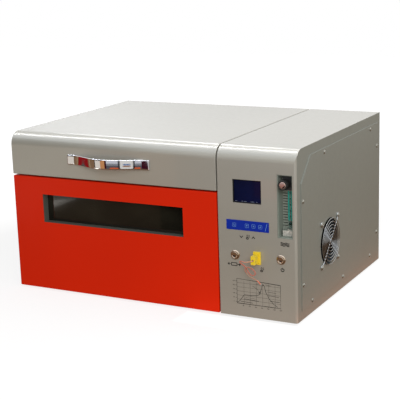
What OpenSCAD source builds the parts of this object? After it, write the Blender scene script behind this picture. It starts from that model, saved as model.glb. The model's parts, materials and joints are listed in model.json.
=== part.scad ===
// Bench-top reflow oven with a motor-driven drawer, a rear-hinged hood over the
// heating chamber and a control cabinet on the right. Sizes are in millimetres.
// +Z is up, +X is right, the front faces -Y, and the origin lies on the bench
// under the middle of the oven.

/* [Carcase] */
// Overall width of the painted carcase
body_w = 610; // [600:5:700]
// Depth from the front panel to the rear panel
body_d = 445; // [440:5:520]
// Height of the carcase above its feet
body_h = 315; // [310:1:340]
// Outer radius of the rounded front top edge
corner_r = 25; // [8:1:34]
// Thickness of the painted sheet
sheet_t = 1.5; // [1:0.1:2]
// Height of the lips that stiffen the floor pan
pan_lip = 10; // [6:1:14]
// Height of the rubber feet
foot_h = 4; // [3:0.5:12]
// Diameter of the rubber feet
foot_d = 26; // [16:1:36]
// Distance of each foot from the two nearest sides
foot_inset = 50; // [40:1:70]
// Width of the control cabinet
cabinet_w = 154; // [152:1:170]
// Bend radius of the cabinet's front right edge
edge_r = 5; // [3:0.5:7]
// Gap between the hood and the control cabinet
seam_gap = 2.5; // [1.5:0.5:5]

/* [Hood] */
// Height of the hood from its lower edge to the top
lid_h = 83.5; // [78:0.5:95]
// Gap between the hood and what lies under it
lid_gap = 3; // [2.5:0.5:4]
// Height of the reflector pocket inside the hood
pocket_h = 30; // [26:1:36]
// Length of each hinge
hinge_l = 60; // [50:5:90]
// Distance of each hinge from the end of the hood
hinge_inset = 50; // [30:5:90]
// Outside diameter of the hinge knuckles
knuckle_d = 10; // [9:0.5:12]
// Diameter of the hinge pins
hinge_pin_d = 5; // [4:0.5:6]
// Height of each hinge leaf
leaf_h = 30; // [24:1:36]
// Thickness of the hinge leaves
leaf_t = 1.8; // [1.5:0.1:2]

/* [Bow handle] */
// Distance of the handle from the left side
handle_x = 135; // [100:1:160]
// Length of the handle over its feet
handle_l = 182; // [150:1:220]
// Height of the handle's lower edge above the hood's lower edge
handle_z = 28.5; // [20:0.5:32]
// Width of the handle strap
handle_w = 19; // [14:1:24]
// How far the bow stands out from the hood
handle_out = 26; // [22:1:36]
// Thickness of the handle strap
handle_t = 4.5; // [3:0.1:6]
// Length of each flat foot of the handle
handle_foot = 14; // [10:1:20]

/* [Chamber] */
// Room between the heating chamber and the walls on its left and right
chamber_side = 43.25; // [40:0.25:52]
// Room between the heating chamber and the rear face
chamber_rear = 93; // [88:1:110]
// Height of the chamber floor above the carcase base
chamber_z = 101; // [98:1:108]
// Thickness of the stainless liner
liner_t = 1.2; // [0.8:0.1:1.5]
// Thickness of the ceramic fibre around the liner
wool_t = 22; // [16:1:23]
// Height of the rim between the chamber mouth and the deck
mouth_rim = 15.5; // [13:0.5:22]
// Number of heating tubes below and above the work
heater_count = 4; // [3:1:5]
// Diameter of the quartz heating tubes
heater_d = 10; // [8:1:12]
// Distance of the heating tubes from the liner
heater_gap = 14; // [12:1:16]
// Diameter of the ceramic ends of the heating tubes
cap_d = 16; // [14:1:18]
// Length of the ceramic ends
cap_l = 26; // [20:1:30]
// Outside diameter of the exhaust spigot
spigot_d = 60; // [50:1:66]
// How far the exhaust spigot stands out behind
spigot_out = 26; // [22:1:34]
// Wall of the exhaust spigot
spigot_t = 1.2; // [1:0.1:2]
// Distance of the spigot from the circulation fan's shaft
spigot_x = 78.75; // [74:0.25:90]
// Width of the collar around the spigot at the rear panel
spigot_collar = 7; // [4:0.5:7]

/* [Circulation fan] */
// Diameter of the air wheel inside the chamber
wheel_d = 84; // [70:1:90]
// Width of the air wheel
wheel_w = 20; // [16:1:24]
// Diameter of the fan shaft
shaft_d = 6; // [5:0.5:7]
// Diameter of the fan motor
motor_d = 60; // [50:1:66]
// Number of vanes on the air wheel
vane_count = 12; // [8:1:16]

/* [Drawer] */
// How far the drawer opens
drawer_travel = 280; // [240:5:290]
// Depth of the folded drawer front
front_depth = 22; // [20:1:24]
// Distance of the window from the left side
window_x = 68; // [60:1:80]
// Distance of the window's upper edge below the drawer's upper edge
window_z = 34; // [30:0.5:42]
// Width of the window
window_w = 315; // [280:1:320]
// Height of the window
window_h = 56.5; // [48:0.5:60]
// Thickness of the window glass
glass_t = 4; // [3:0.5:6]
// How far the glass reaches past the window opening
glass_lap = 8; // [6:1:12]
// Height of the tray above the chamber floor
tray_z = 46; // [40:1:52]
// Gap between the work tray and the air wheel
tray_back = 22.8; // [18:0.1:40]
// Gap between the work tray and the chamber's sides
tray_side = 24; // [18:1:40]
// Thickness of the tray mesh
tray_t = 2; // [1.5:0.5:3]
// Spacing of the tray's openings
tray_pitch = 25; // [20:1:40]
// Height of the drawer slides
slide_h = 36; // [32:1:44]
// Gap between the drawer slides and the rear panel
slide_back = 19.2; // [16:0.2:32]
// Overall thickness of one closed slide
slide_w = 12.7; // [12:0.1:14]
// Thickness of the slide steel
slide_t = 1.2; // [1:0.1:1.4]
// Height of the slides above the floor pan
slide_lift = 21; // [16:1:26]

/* [Drawer drive] */
// Module of the rack and pinion
gear_module = 1.5; // [1.25:0.25:1.75]
// Number of pinion teeth
pinion_teeth = 18; // [17:1:20]
// Face width of the rack and pinion
gear_w = 12; // [10:1:14]
// Flank clearance between the rack and the pinion
gear_play = 0.15; // [0.1:0.01:0.25]
// Diameter of the drive shaft
drive_shaft_d = 6; // [5:0.5:8]
// Diameter of the drive motor
drive_motor_d = 36; // [30:1:37]
// Length of the drive motor
drive_motor_l = 62; // [50:1:80]

/* [Control panel] */
// Distance of the display from the cabinet's left edge
display_x = 30.5; // [24:0.5:34]
// Distance of the display's upper edge below the top
display_z = 58.5; // [52:0.5:64]
// Width of the display opening
display_w = 56; // [50:1:60]
// Height of the display opening
display_h = 43; // [38:1:48]
// Distance of the keypad from the cabinet's left edge
keypad_x = 17; // [12:0.5:20]
// Distance of the keypad's upper edge below the top
keypad_z = 133.2; // [128:0.1:138]
// Width of the keypad
keypad_w = 84; // [76:1:88]
// Height of the keypad
keypad_h = 18.5; // [16:0.5:22]
// Thickness of the keypad membrane
keypad_t = 0.8; // [0.5:0.1:1.2]
// Distance of the drawer button from the cabinet's left edge
drawer_button_x = 33; // [30:0.5:38]
// Distance of the nitrogen button from the right side
nitrogen_button_x = 30.5; // [26:0.5:32]
// Distance of the buttons below the top
button_z = 199; // [194:0.5:204]
// Diameter of the push buttons
button_d = 13; // [11:0.5:14]
// Travel of the push buttons
button_travel = 2.5; // [1.5:0.5:3]
// Outside diameter of the button bezels
bezel_d = 18; // [17:0.5:20]
// Distance of the sensor socket from the cabinet's left edge
socket_x = 77; // [72:0.5:80]
// Distance of the sensor socket's centre below the top
socket_z = 200.5; // [196:0.5:206]
// Width of the sensor socket
socket_w = 14.5; // [14:0.5:16]
// Height of the sensor socket
socket_h = 24; // [22:0.5:28]
// How far the socket stands out from the panel
socket_out = 3; // [2:0.5:4]
// Length of the sensor plug's body
plug_l = 17; // [15:0.5:20]
// Width of the sensor plug
plug_w = 8; // [7:0.5:9]
// Height of the sensor plug
plug_h = 16; // [14:0.5:18]
// Diameter of the sensor wire
wire_d = 2; // [1.5:0.1:2.5]

/* [Flow meter] */
// Distance of the flow meter window from the right side
flow_x = 7.5; // [7:0.1:12]
// Distance of the window's upper edge below the top
flow_z = 44.7; // [40:0.1:50]
// Width of the flow meter window
flow_w = 29.2; // [28:0.1:32]
// Height of the flow meter window
flow_h = 114.8; // [108:0.1:120]
// Depth of the flow meter recess
flow_depth = 24; // [22:1:28]
// Outside diameter of the glass flow tube
tube_d = 9; // [8:0.5:10]
// Diameter of the float
float_d = 5.5; // [4:0.5:6]
// Diameter of the needle valve knob
knob_d = 18; // [14:0.5:20]
// Length of the needle valve knob
knob_l = 16; // [10:0.5:18]
// Depth of the flow tube's axis behind the panel's face
tube_in = 17.5; // [16:0.5:18]
// Distance of the flow tube to the right of the knob
tube_x = 3; // [0:0.5:4]
// Width of the valve head and the foot block
block_w = 20; // [18:1:24]
// Depth of the front of both blocks behind the panel's face
block_in = 12; // [10:0.5:12]

/* [Side cover] */
// Distance of the side cover from the front
cover_front = 19.5; // [16:0.5:24]
// Distance of the side cover from the rear
cover_rear = 15; // [12:0.5:20]
// Distance of the side cover from the carcase base
cover_low = 17; // [14:0.5:22]
// Distance of the side cover from the top
cover_top = 18.5; // [16:0.5:24]
// Size of the side cover's cut corner
cover_cut = 44.5; // [30:0.5:60]
// Distance of the cover screws from the cover's edge
cover_screw_edge = 7; // [6:0.5:9]
// Width of the frame hidden behind the cover's edge
cover_lap = 14; // [12:0.5:18]
// Head diameter of the panel screws
screw_head_d = 8; // [7:0.5:9]
// Height of the panel screw heads
screw_head_h = 2.5; // [2:0.1:3]

/* [Cooling fan] */
// Distance of the fan's centre from the front
fan_y = 154; // [150:1:180]
// Height of the fan's centre above the carcase base
fan_z = 114.3; // [105:0.1:125]
// Outside size of the square fan frame
fan_size = 92; // [88:1:94]
// Depth of the fan frame
fan_depth = 25; // [22:1:28]
// Spacing of the fan screws
fan_pitch = 82.5; // [80:0.5:84]
// Diameter of the air opening
fan_bore = 90; // [84:1:90]
// Number of fan blades
blade_count = 7; // [5:1:9]
// Diameter of the guard wire
guard_wire = 2; // [1.5:0.1:2.5]
// Number of guard rings
ring_count = 7; // [4:1:8]

/* [Services] */
// Distance of the mains inlet from the right side
inlet_x = 50; // [45:1:60]
// Height of the mains inlet above the carcase base
inlet_z = 50; // [40:1:60]
// Diameter of the nitrogen hose that the inlet takes
hose_d = 8; // [6:1:10]
// Distance of the nitrogen inlet from the right side
nitrogen_x = 110; // [95:1:120]
// Height of the nitrogen inlet above the carcase base
nitrogen_z = 180; // [160:1:200]

/* [Hidden] */
$fn = 48;

// Clearances
seat = 0.3;       // between a seated piece and its carrier
running = 0.04;   // radial, between a shaft and its bearing
wall_gap = 0.5;   // between sheet pieces that slide past each other
eps = 1;          // how far a cutter runs past the face that it opens

// Main planes of the carcase
left = -body_w / 2;
right = body_w / 2;
front = -body_d / 2;
rear = body_d / 2;
base = foot_h;
top = foot_h + body_h;
cabinet_left = right - cabinet_w;
hood_right = cabinet_left - seam_gap;
lid_base = top - lid_h;
deck_top = lid_base - lid_gap;
deck_low = deck_top - liner_t;

// Drawer front and the planes behind it
inner_panel_t = 1.2;
inner_front = front + front_depth;
inner_back = inner_front + inner_panel_t;
gasket_t = 3;
gasket_w = 12;
frame_front = inner_back + gasket_t + seat;
frame_back = frame_front + sheet_t;

// Heating chamber
oven_mid = (left + sheet_t + cabinet_left) / 2;
chamber_l = left + sheet_t + chamber_side;
chamber_r = cabinet_left - chamber_side;
chamber_back = rear - chamber_rear;
chamber_floor = base + chamber_z;
mouth_top = deck_top - mouth_rim;
deck_lip = 14;
wool_back = chamber_back + liner_t + wool_t;
wool_low = chamber_floor - liner_t - wool_t;

// Circulation fan and exhaust
wheel_rise = 6;
wheel_z = (chamber_floor + mouth_top) / 2 + wheel_rise;
wheel_gap = 6;
wheel_back = chamber_back - wheel_gap;
wheel_front = wheel_back - wheel_w;
spigot_mid = oven_mid - spigot_x;
shaft_hole_d = 14;

// Drawer slides and carriage
slide_z = base + sheet_t + slide_lift + slide_h / 2;
slide_front = frame_back + seat;
slide_l = rear - sheet_t - slide_back - slide_front;
bay_l = left + sheet_t;
bay_r = cabinet_left;
carriage_l = bay_l + slide_w;
carriage_r = bay_r - slide_w;
carriage_top = slide_z + slide_h / 2 + 2;
carriage_t = 1.5;
bridge_h = 8;
bridge_low = carriage_top - bridge_h;
middle_ratio = 0.5;
frame_sill = carriage_top + 4;

// Rack and pinion
pitch_r = gear_module * pinion_teeth / 2;
rack_h = 5 + 2.25 * gear_module;
rack_top = bridge_low;
pitch_z = rack_top - 5 - gear_module * 1.25;
pinion_z = pitch_z - pitch_r;
pinion_y = frame_back + 24;
tooth_pitch = PI * gear_module;
rack_teeth = ceil((drawer_travel + 36) / tooth_pitch);
rack_lead = 4;
pressure_angle = 20;

// Hinges
hinge_y = rear + knuckle_d / 2 + 0.5;
hinge_z = (lid_base + deck_top) / 2;
knuckle_count = 5;
knuckle_gap = 0.4;
hinge_places = [left + hinge_inset, hood_right - hinge_inset - hinge_l];

// Panel screws
screw_d = 3.6;
screw_hole_d = 4.2;
screw_l = 6;
fan_screw_l = 14;

// Side cover
cover_y0 = front + cover_front;
cover_y1 = rear - cover_rear;
cover_z0 = base + cover_low;
cover_z1 = top - cover_top;
cover_t = 1.5;
fan_mid_y = front + fan_y;
fan_mid_z = base + fan_z;
hub_d = 36;

// Sensor wire: hand-chosen points from the plug to the sensing tip, relative to
// the middle of the plug's front face
wire_route = [
  [0, 0, 0], [-1.5, -3, -0.3], [-5, -5, -1], [-10, -5.5, -2], [-16, -4, -2.5], [-22, -1, -2.5],
  [-26.5, 3, -4.5], [-27, 6, -8], [-23.5, 8, -11.5], [-19, 8.5, -15], [-15.5, 8.5, -20],
  [-11.5, 8, -25.5], [-7, 7.5, -29], [-2, 7, -29.5], [1.5, 6.5, -26.5], [1.5, 6, -22],
  [-2, 5.5, -18], [-7, 5, -15], [-12.5, 4.5, -14], [-17, 4.5, -17], [-17, 5, -22],
  [-13, 5.2, -27.5], [-8, 5, -31.5], [-2.5, 5, -33.5], [3, 5.5, -36], [8, 6.5, -40],
  [12, 7.5, -45]
];
tip_d = 3;

// ---------------------------------------------------------------- helpers

module box(low, high) {
  translate(low) cube(high - low);
}

// Extrudes a (Y, Z) outline along X
module along_x(from, to) {
  translate([from, 0, 0]) rotate([90, 0, 90]) linear_extrude(to - from) children();
}

// Extrudes an (X, Z) outline along Y
module along_y(from, to) {
  translate([0, to, 0]) rotate([90, 0, 0]) linear_extrude(to - from) children();
}

module rod_x(from, to, y, z, d) {
  translate([from, y, z]) rotate([0, 90, 0]) cylinder(h = to - from, d = d);
}

module rod_y(from, to, x, z, d) {
  translate([x, from, z]) rotate([-90, 0, 0]) cylinder(h = to - from, d = d);
}

module rod_z(from, to, x, y, d) {
  translate([x, y, from]) cylinder(h = to - from, d = d);
}

// Rectangular frame between two boxes' outlines, open along Y
module ring_y(from, to, x0, x1, z0, z1, wall) {
  difference() {
    box([x0 - wall, from, z0 - wall], [x1 + wall, to, z1 + wall]);
    box([x0, from - eps, z0], [x1, to + eps, z1]);
  }
}

// Outline, in the (Y, Z) plane, of sheet work with a rounded front top edge
module hood_outline(y0, y1, z0, z1, r) {
  translate([y0, z0]) square([y1 - y0, z1 - r - z0]);
  translate([y0 + r, z0]) square([y1 - y0 - r, z1 - z0]);
  translate([y0 + r, z1 - r]) circle(r, $fn = 96);
}

// Outline, in the (Y, Z) plane, of the side cover with its cut corner
module cover_outline(inset) {
  cut = cover_cut + inset * (2 - sqrt(2)) - inset;
  polygon([
    [cover_y0 + inset, cover_z0 + inset], [cover_y1 - inset, cover_z0 + inset],
    [cover_y1 - inset, cover_z1 - inset], [cover_y0 + inset + cut, cover_z1 - inset],
    [cover_y0 + inset, cover_z1 - inset - cut]
  ]);
}

// Heating tubes across the chamber, each with a ceramic end
heater_first = 34;
heater_last = 76;
function heater_y(i) =
  let (y0 = frame_back + heater_first, y1 = chamber_back - heater_last)
    y0 + i * (y1 - y0) / (heater_count - 1);

module heater(y, z) {
  rod_x(chamber_l - liner_t - cap_l, chamber_r + liner_t + cap_l, y, z, heater_d);
  rod_x(chamber_l - liner_t - seat - cap_l, chamber_l - liner_t - seat, y, z, cap_d);
  rod_x(chamber_r + liner_t + seat, chamber_r + liner_t + seat + cap_l, y, z, cap_d);
}

module heater_holes(z, d) {
  for (i = [0 : heater_count - 1])
    rod_x(chamber_l - 60, chamber_r + 60, heater_y(i), z, d);
}

// Domed screw head that sits on a face at the origin and looks along +Z
module screw_head(d, h) {
  intersection() {
    cylinder(h = h, d = d);
    translate([0, 0, h - (d * d / 4 + h * h) / (2 * h)])
      sphere(r = (d * d / 4 + h * h) / (2 * h) * 1.02, $fn = 64);
  }
}

// ---------------------------------------------------------------- carcase

pan_front = inner_back + 1;
pan_slot = 3;
pan_slot_y = 50;
pan_slot_l = 60;

module base_pan() {
  x0 = left + sheet_t;
  x1 = right - sheet_t;
  y1 = rear - sheet_t;
  color("silver") difference() {
    union() {
      box([x0, pan_front, base], [cabinet_left, y1, base + sheet_t]);
      box([cabinet_left - sheet_t, pan_front, base], [x1, y1, base + sheet_t]);
      box([cabinet_left, front + edge_r + seat, base], [x1, pan_front + eps, base + sheet_t]);
      box([x0, frame_back, base], [x0 + sheet_t, y1, base + pan_lip]);
      box([x1 - sheet_t, front + foot_inset, base], [x1, y1, base + pan_lip]);
      box([x0, frame_back, base], [cabinet_left, frame_back + sheet_t, base + pan_lip]);
    }
    // Row of air slots under the control cabinet
    for (i = [-4 : 3])
      translate([(cabinet_left + right) / 2 + 2 * pan_slot * i, pan_slot_y, base])
        box([0, -pan_slot_l / 2, -eps], [pan_slot, pan_slot_l / 2, sheet_t + eps]);
  }
}

function foot_places() = [
  for (x = [left + foot_inset, right - foot_inset], y = [front + foot_inset, rear - foot_inset]) [x, y]
];

module rubber_feet() {
  color("#202020") for (p = foot_places()) rod_z(0, base, p[0], p[1], foot_d);
}

// Window through the cabinet's front sheet
module panel_window(x0, x1, z0, z1) {
  box([x0, front - eps, z0], [x1, front + sheet_t + eps, z1]);
}

module cabinet_openings() {
  panel_window(display_l, display_r, display_low, display_top);
  panel_window(meter_l, meter_r, meter_low, meter_top);
  for (x = button_places())
    rod_y(front - eps, front + sheet_t + eps, x, button_mid_z, bezel_d - 2);
  panel_window(plug_mid_x - socket_w / 2 + socket_lap, plug_mid_x + socket_w / 2 - socket_lap,
               plug_mid_z - socket_h / 2 + socket_lap + 0.5, plug_mid_z + socket_h / 2 - socket_lap - 0.5);
}

// Space that the cabinet's sheet encloses, with its bent front right edge
module cabinet_form(x0, x1, y0, y1, z0, z1, r_top, r_edge) {
  intersection() {
    along_x(x0, x1) hood_outline(y0, y1, z0, z1, r_top);
    translate([0, 0, z0 - eps]) linear_extrude(z1 - z0 + 2 * eps) {
      translate([x0 - eps, y0 - eps]) square([x1 - r_edge - x0 + eps, y1 - y0 + 2 * eps]);
      translate([x0 - eps, y0 + r_edge]) square([x1 - x0 + eps, y1 - y0 - r_edge + eps]);
      translate([x1 - r_edge, y0 + r_edge]) circle(r_edge);
    }
  }
}

module cabinet_shell() {
  color("#a8a599") difference() {
    cabinet_form(cabinet_left, right, front, rear, base, top, corner_r, edge_r);
    cabinet_form(cabinet_left - eps, right - sheet_t, front + sheet_t, rear + eps, base - eps,
                 top - sheet_t, corner_r - sheet_t, edge_r - sheet_t);
    along_x(right - sheet_t - eps, right + eps) cover_outline(cover_lap);
    for (p = cover_screws()) rod_x(right - sheet_t - eps, right + eps, p[0], p[1], screw_hole_d);
    cabinet_openings();
  }
}

wire_way_d = 16;
wire_way_gap = 80;
wire_way_y = 80;

module centre_partition() {
  color("silver") difference() {
    along_x(cabinet_left, cabinet_left + sheet_t)
      hood_outline(front + sheet_t, rear - sheet_t, base + sheet_t, top - sheet_t, corner_r - sheet_t);
    // Ways through for the heater wires and the nitrogen line
    for (z = [wheel_z - wire_way_gap / 2, wheel_z + wire_way_gap / 2])
      rod_x(cabinet_left - eps, cabinet_left + sheet_t + eps, rear - wire_way_y, z, wire_way_d);
  }
}

louvre_h = 4;
louvre_pitch = 9;
louvre_drop = 100;
louvre_side = 24;
bay_louvre_z = 30;
bay_louvre_w = 90;

module rear_panel() {
  y0 = rear - sheet_t - eps;
  y1 = rear + eps;
  color("silver") difference() {
    union() {
      box([left + sheet_t, rear - sheet_t, base], [right - sheet_t, rear, deck_top]);
      box([cabinet_left, rear - sheet_t, deck_top], [right - sheet_t, rear, top - sheet_t]);
    }
    rod_y(y0, y1, spigot_mid, wheel_z, spigot_d + 2 * seat);
    rod_y(y0, y1, right - nitrogen_x, base + nitrogen_z, nitrogen_body_d + 2 * seat);
    for (p = rear_screws()) rod_y(y0, y1, p[0], p[1], screw_hole_d);
    box([inlet_mid - inlet_body / 2 - 0.5, y0, inlet_base - inlet_body / 2 - 0.5],
        [inlet_mid + inlet_body / 2 + 0.5, y1, inlet_base + inlet_body / 2 + inlet_switch + 0.5]);
    // Louvres behind the electronics
    for (i = [0 : 7]) translate([0, 0, top - louvre_drop + louvre_pitch * i])
      box([cabinet_left + louvre_side, y0, 0], [right - louvre_side, y1, louvre_h]);
    // Louvres of the drive bay
    for (i = [0 : 5]) translate([0, 0, base + bay_louvre_z + (louvre_pitch - 1) * i])
      box([oven_mid - bay_louvre_w / 2, y0, 0], [oven_mid + bay_louvre_w / 2, y1, louvre_h - 1]);
  }
}

module left_side_panel() {
  color("#a8a599") box([left, frame_front, base], [left + sheet_t, rear, deck_top]);
}

// Painted sheet around the chamber mouth, seen when the drawer is out
module oven_front_frame() {
  color("#8f8c82") difference() {
    box([left + sheet_t, frame_front, frame_sill], [cabinet_left, frame_back, deck_low]);
    box([chamber_l, frame_front - eps, chamber_floor], [chamber_r, frame_back + eps, mouth_top]);
  }
}

// ---------------------------------------------------------------- side cover

cover_screw_end = 48;
cover_screw_top = 66;
cover_screw_front = 33;

function cover_screws() =
  let (y0 = cover_y0 + cover_screw_edge, y1 = cover_y1 - cover_screw_edge,
       z0 = cover_z0 + cover_screw_edge, z1 = cover_z1 - cover_screw_edge) [
    [cover_y0 + cover_cut + cover_screw_top, z1], [cover_y1 - cover_screw_end, z1],
    [y1, cover_z1 - cover_screw_end], [y1, cover_z0 + cover_screw_end],
    [cover_y1 - cover_screw_end, z0], [(cover_y0 + cover_y1) / 2, z0],
    [cover_y0 + cover_screw_end, z0], [y0, cover_z0 + cover_screw_end],
    [y0, cover_z1 - cover_cut - cover_screw_front]
  ];

function fan_corners() = [
  for (a = [-1, 1], b = [-1, 1]) [fan_mid_y + a * fan_pitch / 2, fan_mid_z + b * fan_pitch / 2]
];

module side_cover() {
  color("#9b988d") difference() {
    along_x(right, right + cover_t) cover_outline(0);
    for (p = cover_screws()) rod_x(right - eps, right + cover_t + eps, p[0], p[1], screw_hole_d);
    rod_x(right - eps, right + cover_t + eps, fan_mid_y, fan_mid_z, fan_bore);
    for (p = fan_corners()) rod_x(right - eps, right + cover_t + eps, p[0], p[1], 4.5);
  }
}

// Pan-head screw at the origin, driven in along -Z
module panel_screw(length) {
  translate([0, 0, 0.02]) screw_head(screw_head_d, screw_head_h);
  translate([0, 0, -length]) cylinder(h = length + 0.5, d = screw_d);
}

rear_screw_side = 14;
rear_screw_edge = 12;

function rear_screws() = concat(
  [for (x = [left + rear_screw_side, oven_mid, cabinet_left - rear_screw_side],
        z = [base + rear_screw_edge, deck_top - screw_head_d]) [x, z]],
  [for (z = [base + rear_screw_edge, (base + top) / 2, top - rear_screw_edge])
    [right - rear_screw_edge, z]]
);

module panel_screws() {
  color("#c8c8c8") {
    for (p = cover_screws())
      translate([right + cover_t, p[0], p[1]]) rotate([0, 90, 0]) panel_screw(screw_l);
    for (p = fan_corners())
      translate([right + cover_t + eye_t, p[0], p[1]]) rotate([0, 90, 0]) panel_screw(fan_screw_l);
    for (p = rear_screws()) translate([p[0], rear, p[1]]) rotate([-90, 0, 0]) panel_screw(screw_l);
  }
}

// ---------------------------------------------------------------- chamber

module chamber_liner() {
  color("#b9bcbf") difference() {
    union() {
      box([chamber_l - liner_t, frame_back, chamber_floor - liner_t],
          [chamber_r + liner_t, chamber_back + liner_t, deck_top]);
      box([left + sheet_t, frame_front, deck_low], [cabinet_left, rear - sheet_t, deck_top]);
    }
    box([chamber_l, frame_back - eps, chamber_floor], [chamber_r, chamber_back, deck_low - 4]);
    box([chamber_l, frame_back + deck_lip, deck_low - 5], [chamber_r, chamber_back, deck_top + eps]);
    heater_holes(chamber_floor + heater_gap, heater_d + 2 * seat);
    rod_y(chamber_back - eps, chamber_back + liner_t + eps, oven_mid, wheel_z, shaft_hole_d);
    rod_y(chamber_back - eps, chamber_back + liner_t + eps, spigot_mid, wheel_z, spigot_d - 2 * spigot_t);
  }
}

module chamber_insulation() {
  color("#efece2") difference() {
    box([chamber_l - liner_t - wool_t, frame_back, wool_low],
        [chamber_r + liner_t + wool_t, wool_back, deck_low]);
    box([chamber_l - liner_t, frame_back - eps, chamber_floor - liner_t],
        [chamber_r + liner_t, chamber_back + liner_t, deck_low + eps]);
    heater_holes(chamber_floor + heater_gap, cap_d + 2 * seat);
    rod_y(chamber_back, wool_back + eps, oven_mid, wheel_z, shaft_hole_d);
    rod_y(chamber_back, wool_back + eps, spigot_mid, wheel_z, spigot_d + 2 * seat);
  }
}

module lower_heaters() {
  color("#e8e4da") for (i = [0 : heater_count - 1]) heater(heater_y(i), chamber_floor + heater_gap);
}

flange_t = 6;
motor_stay = 12;
motor_back = rear - sheet_t - motor_stay;

module circulation_fan_motor() {
  flange = motor_d / 2 + flange_t;
  color("#4a4d50") difference() {
    union() {
      rod_y(wool_back + flange_t, motor_back, oven_mid, wheel_z, motor_d);
      // Boss that carries the shaft through the ceramic fibre
      rod_y(chamber_back + liner_t + seat, wool_back + flange_t + eps, oven_mid, wheel_z,
            shaft_hole_d - 2 * seat);
      // Flange seated on the ceramic fibre, and the stay that bolts to the rear panel
      translate([oven_mid, wool_back, wheel_z])
        box([-flange, 0, -flange], [flange, flange_t, flange]);
      translate([oven_mid, motor_back, wheel_z])
        box([-motor_stay, -eps, -motor_stay], [motor_stay, motor_stay, motor_stay]);
    }
    rod_y(chamber_back, motor_back - 8, oven_mid, wheel_z, shaft_d + 2 * running);
  }
}

module circulation_fan_wheel() {
  color("#9a9da0") {
    rod_y(wheel_front, motor_back - 10, oven_mid, wheel_z, shaft_d);
    rod_y(wheel_back - 1.5, wheel_back, oven_mid, wheel_z, wheel_d);
    rod_y(wheel_front, wheel_back, oven_mid, wheel_z, shaft_d + 10);
    translate([oven_mid, 0, wheel_z])
      for (i = [0 : vane_count - 1]) rotate([0, i * 360 / vane_count, 0])
        box([wheel_d / 2 - 24, wheel_front, -0.6], [wheel_d / 2 - 1, wheel_back, 0.6]);
  }
}

module exhaust_spigot() {
  color("#b9bcbf") difference() {
    union() {
      rod_y(chamber_back + liner_t, rear + spigot_out, spigot_mid, wheel_z, spigot_d);
      rod_y(rear, rear + sheet_t, spigot_mid, wheel_z, spigot_d + 2 * spigot_collar);
    }
    rod_y(chamber_back, rear + spigot_out + eps, spigot_mid, wheel_z, spigot_d - 2 * spigot_t);
  }
}

// ---------------------------------------------------------------- hood

module lid_shell() {
  color("#a8a599") difference() {
    along_x(left, hood_right) hood_outline(front, rear, lid_base, top, corner_r);
    along_x(left + sheet_t, hood_right - sheet_t)
      hood_outline(front + sheet_t, rear - sheet_t, lid_base - eps, top - sheet_t, corner_r - sheet_t);
    for (x = handle_screw_places()) rod_y(front - eps, front + sheet_t + eps, x, handle_mid_z(), 5);
  }
}

function handle_left() = left + handle_x;
function handle_mid_z() = lid_base + handle_z + handle_w / 2;
function handle_screw_places() =
  [handle_left() + handle_foot / 2, handle_left() + handle_l - handle_foot / 2];

// Distance of the strap's back face from the hood, at a share s of the arch
arch_power = 1.5;
function arch(s) = (handle_out - handle_t) * pow(sin(180 * s), arch_power);
bow_steps = 40;
function bow_edge(offset) = [
  for (i = [0 : bow_steps])
    let (s = i / bow_steps)
      [handle_left() + handle_foot + s * (handle_l - 2 * handle_foot), front - arch(s) - offset]
];
function reversed(list) = [for (i = [len(list) - 1 : -1 : 0]) list[i]];

module lid_handle() {
  color("#d8dadc") difference() {
    translate([0, 0, lid_base + handle_z]) linear_extrude(handle_w) polygon(concat(
      [[handle_left(), front]], bow_edge(0), [[handle_left() + handle_l, front]],
      [[handle_left() + handle_l, front - handle_t]], reversed(bow_edge(handle_t)),
      [[handle_left(), front - handle_t]]
    ));
    for (x = handle_screw_places()) rod_y(front - 1.6, front + eps, x, handle_mid_z(), 4);
  }
}

module lid_handle_screws() {
  color("#c8c8c8") for (x = handle_screw_places()) {
    rod_y(front - 1.4, front + sheet_t + 1, x, handle_mid_z(), 3.6);
    translate([x, front + sheet_t + 0.02, handle_mid_z()]) rotate([-90, 0, 0]) screw_head(7.5, 2.4);
  }
}

pocket_top = lid_base + pocket_h;

module lid_liner() {
  color("#b9bcbf") difference() {
    union() {
      box([left + sheet_t, front + sheet_t, lid_base],
          [hood_right - sheet_t, rear - sheet_t, lid_base + liner_t]);
      box([chamber_l - liner_t, frame_back + deck_lip - liner_t, lid_base],
          [chamber_r + liner_t, chamber_back + liner_t, pocket_top + liner_t]);
    }
    box([chamber_l, frame_back + deck_lip, lid_base - eps], [chamber_r, chamber_back, pocket_top]);
    heater_holes(pocket_top - heater_gap, heater_d + 2 * seat);
  }
}

module lid_insulation() {
  color("#efece2") difference() {
    box([chamber_l - liner_t - wool_t, frame_back + deck_lip - liner_t - 8, lid_base + liner_t],
        [chamber_r + liner_t + wool_t, wool_back, pocket_top + liner_t + wool_t]);
    box([chamber_l - liner_t, frame_back + deck_lip - liner_t, lid_base],
        [chamber_r + liner_t, chamber_back + liner_t, pocket_top + liner_t]);
    heater_holes(pocket_top - heater_gap, cap_d + 2 * seat);
  }
}

module upper_heaters() {
  color("#e8e4da") for (i = [0 : heater_count - 1]) heater(heater_y(i), pocket_top - heater_gap);
}

module lid_gasket() {
  color("#d9d6cb") difference() {
    box([chamber_l - gasket_w, frame_back + 1, deck_top + seat],
        [chamber_r + gasket_w, chamber_back + gasket_w, lid_base]);
    box([chamber_l, frame_back + deck_lip, deck_top], [chamber_r, chamber_back, lid_base + eps]);
  }
}

rivet_d = 7;
rivet_h = 0.8;

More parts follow.
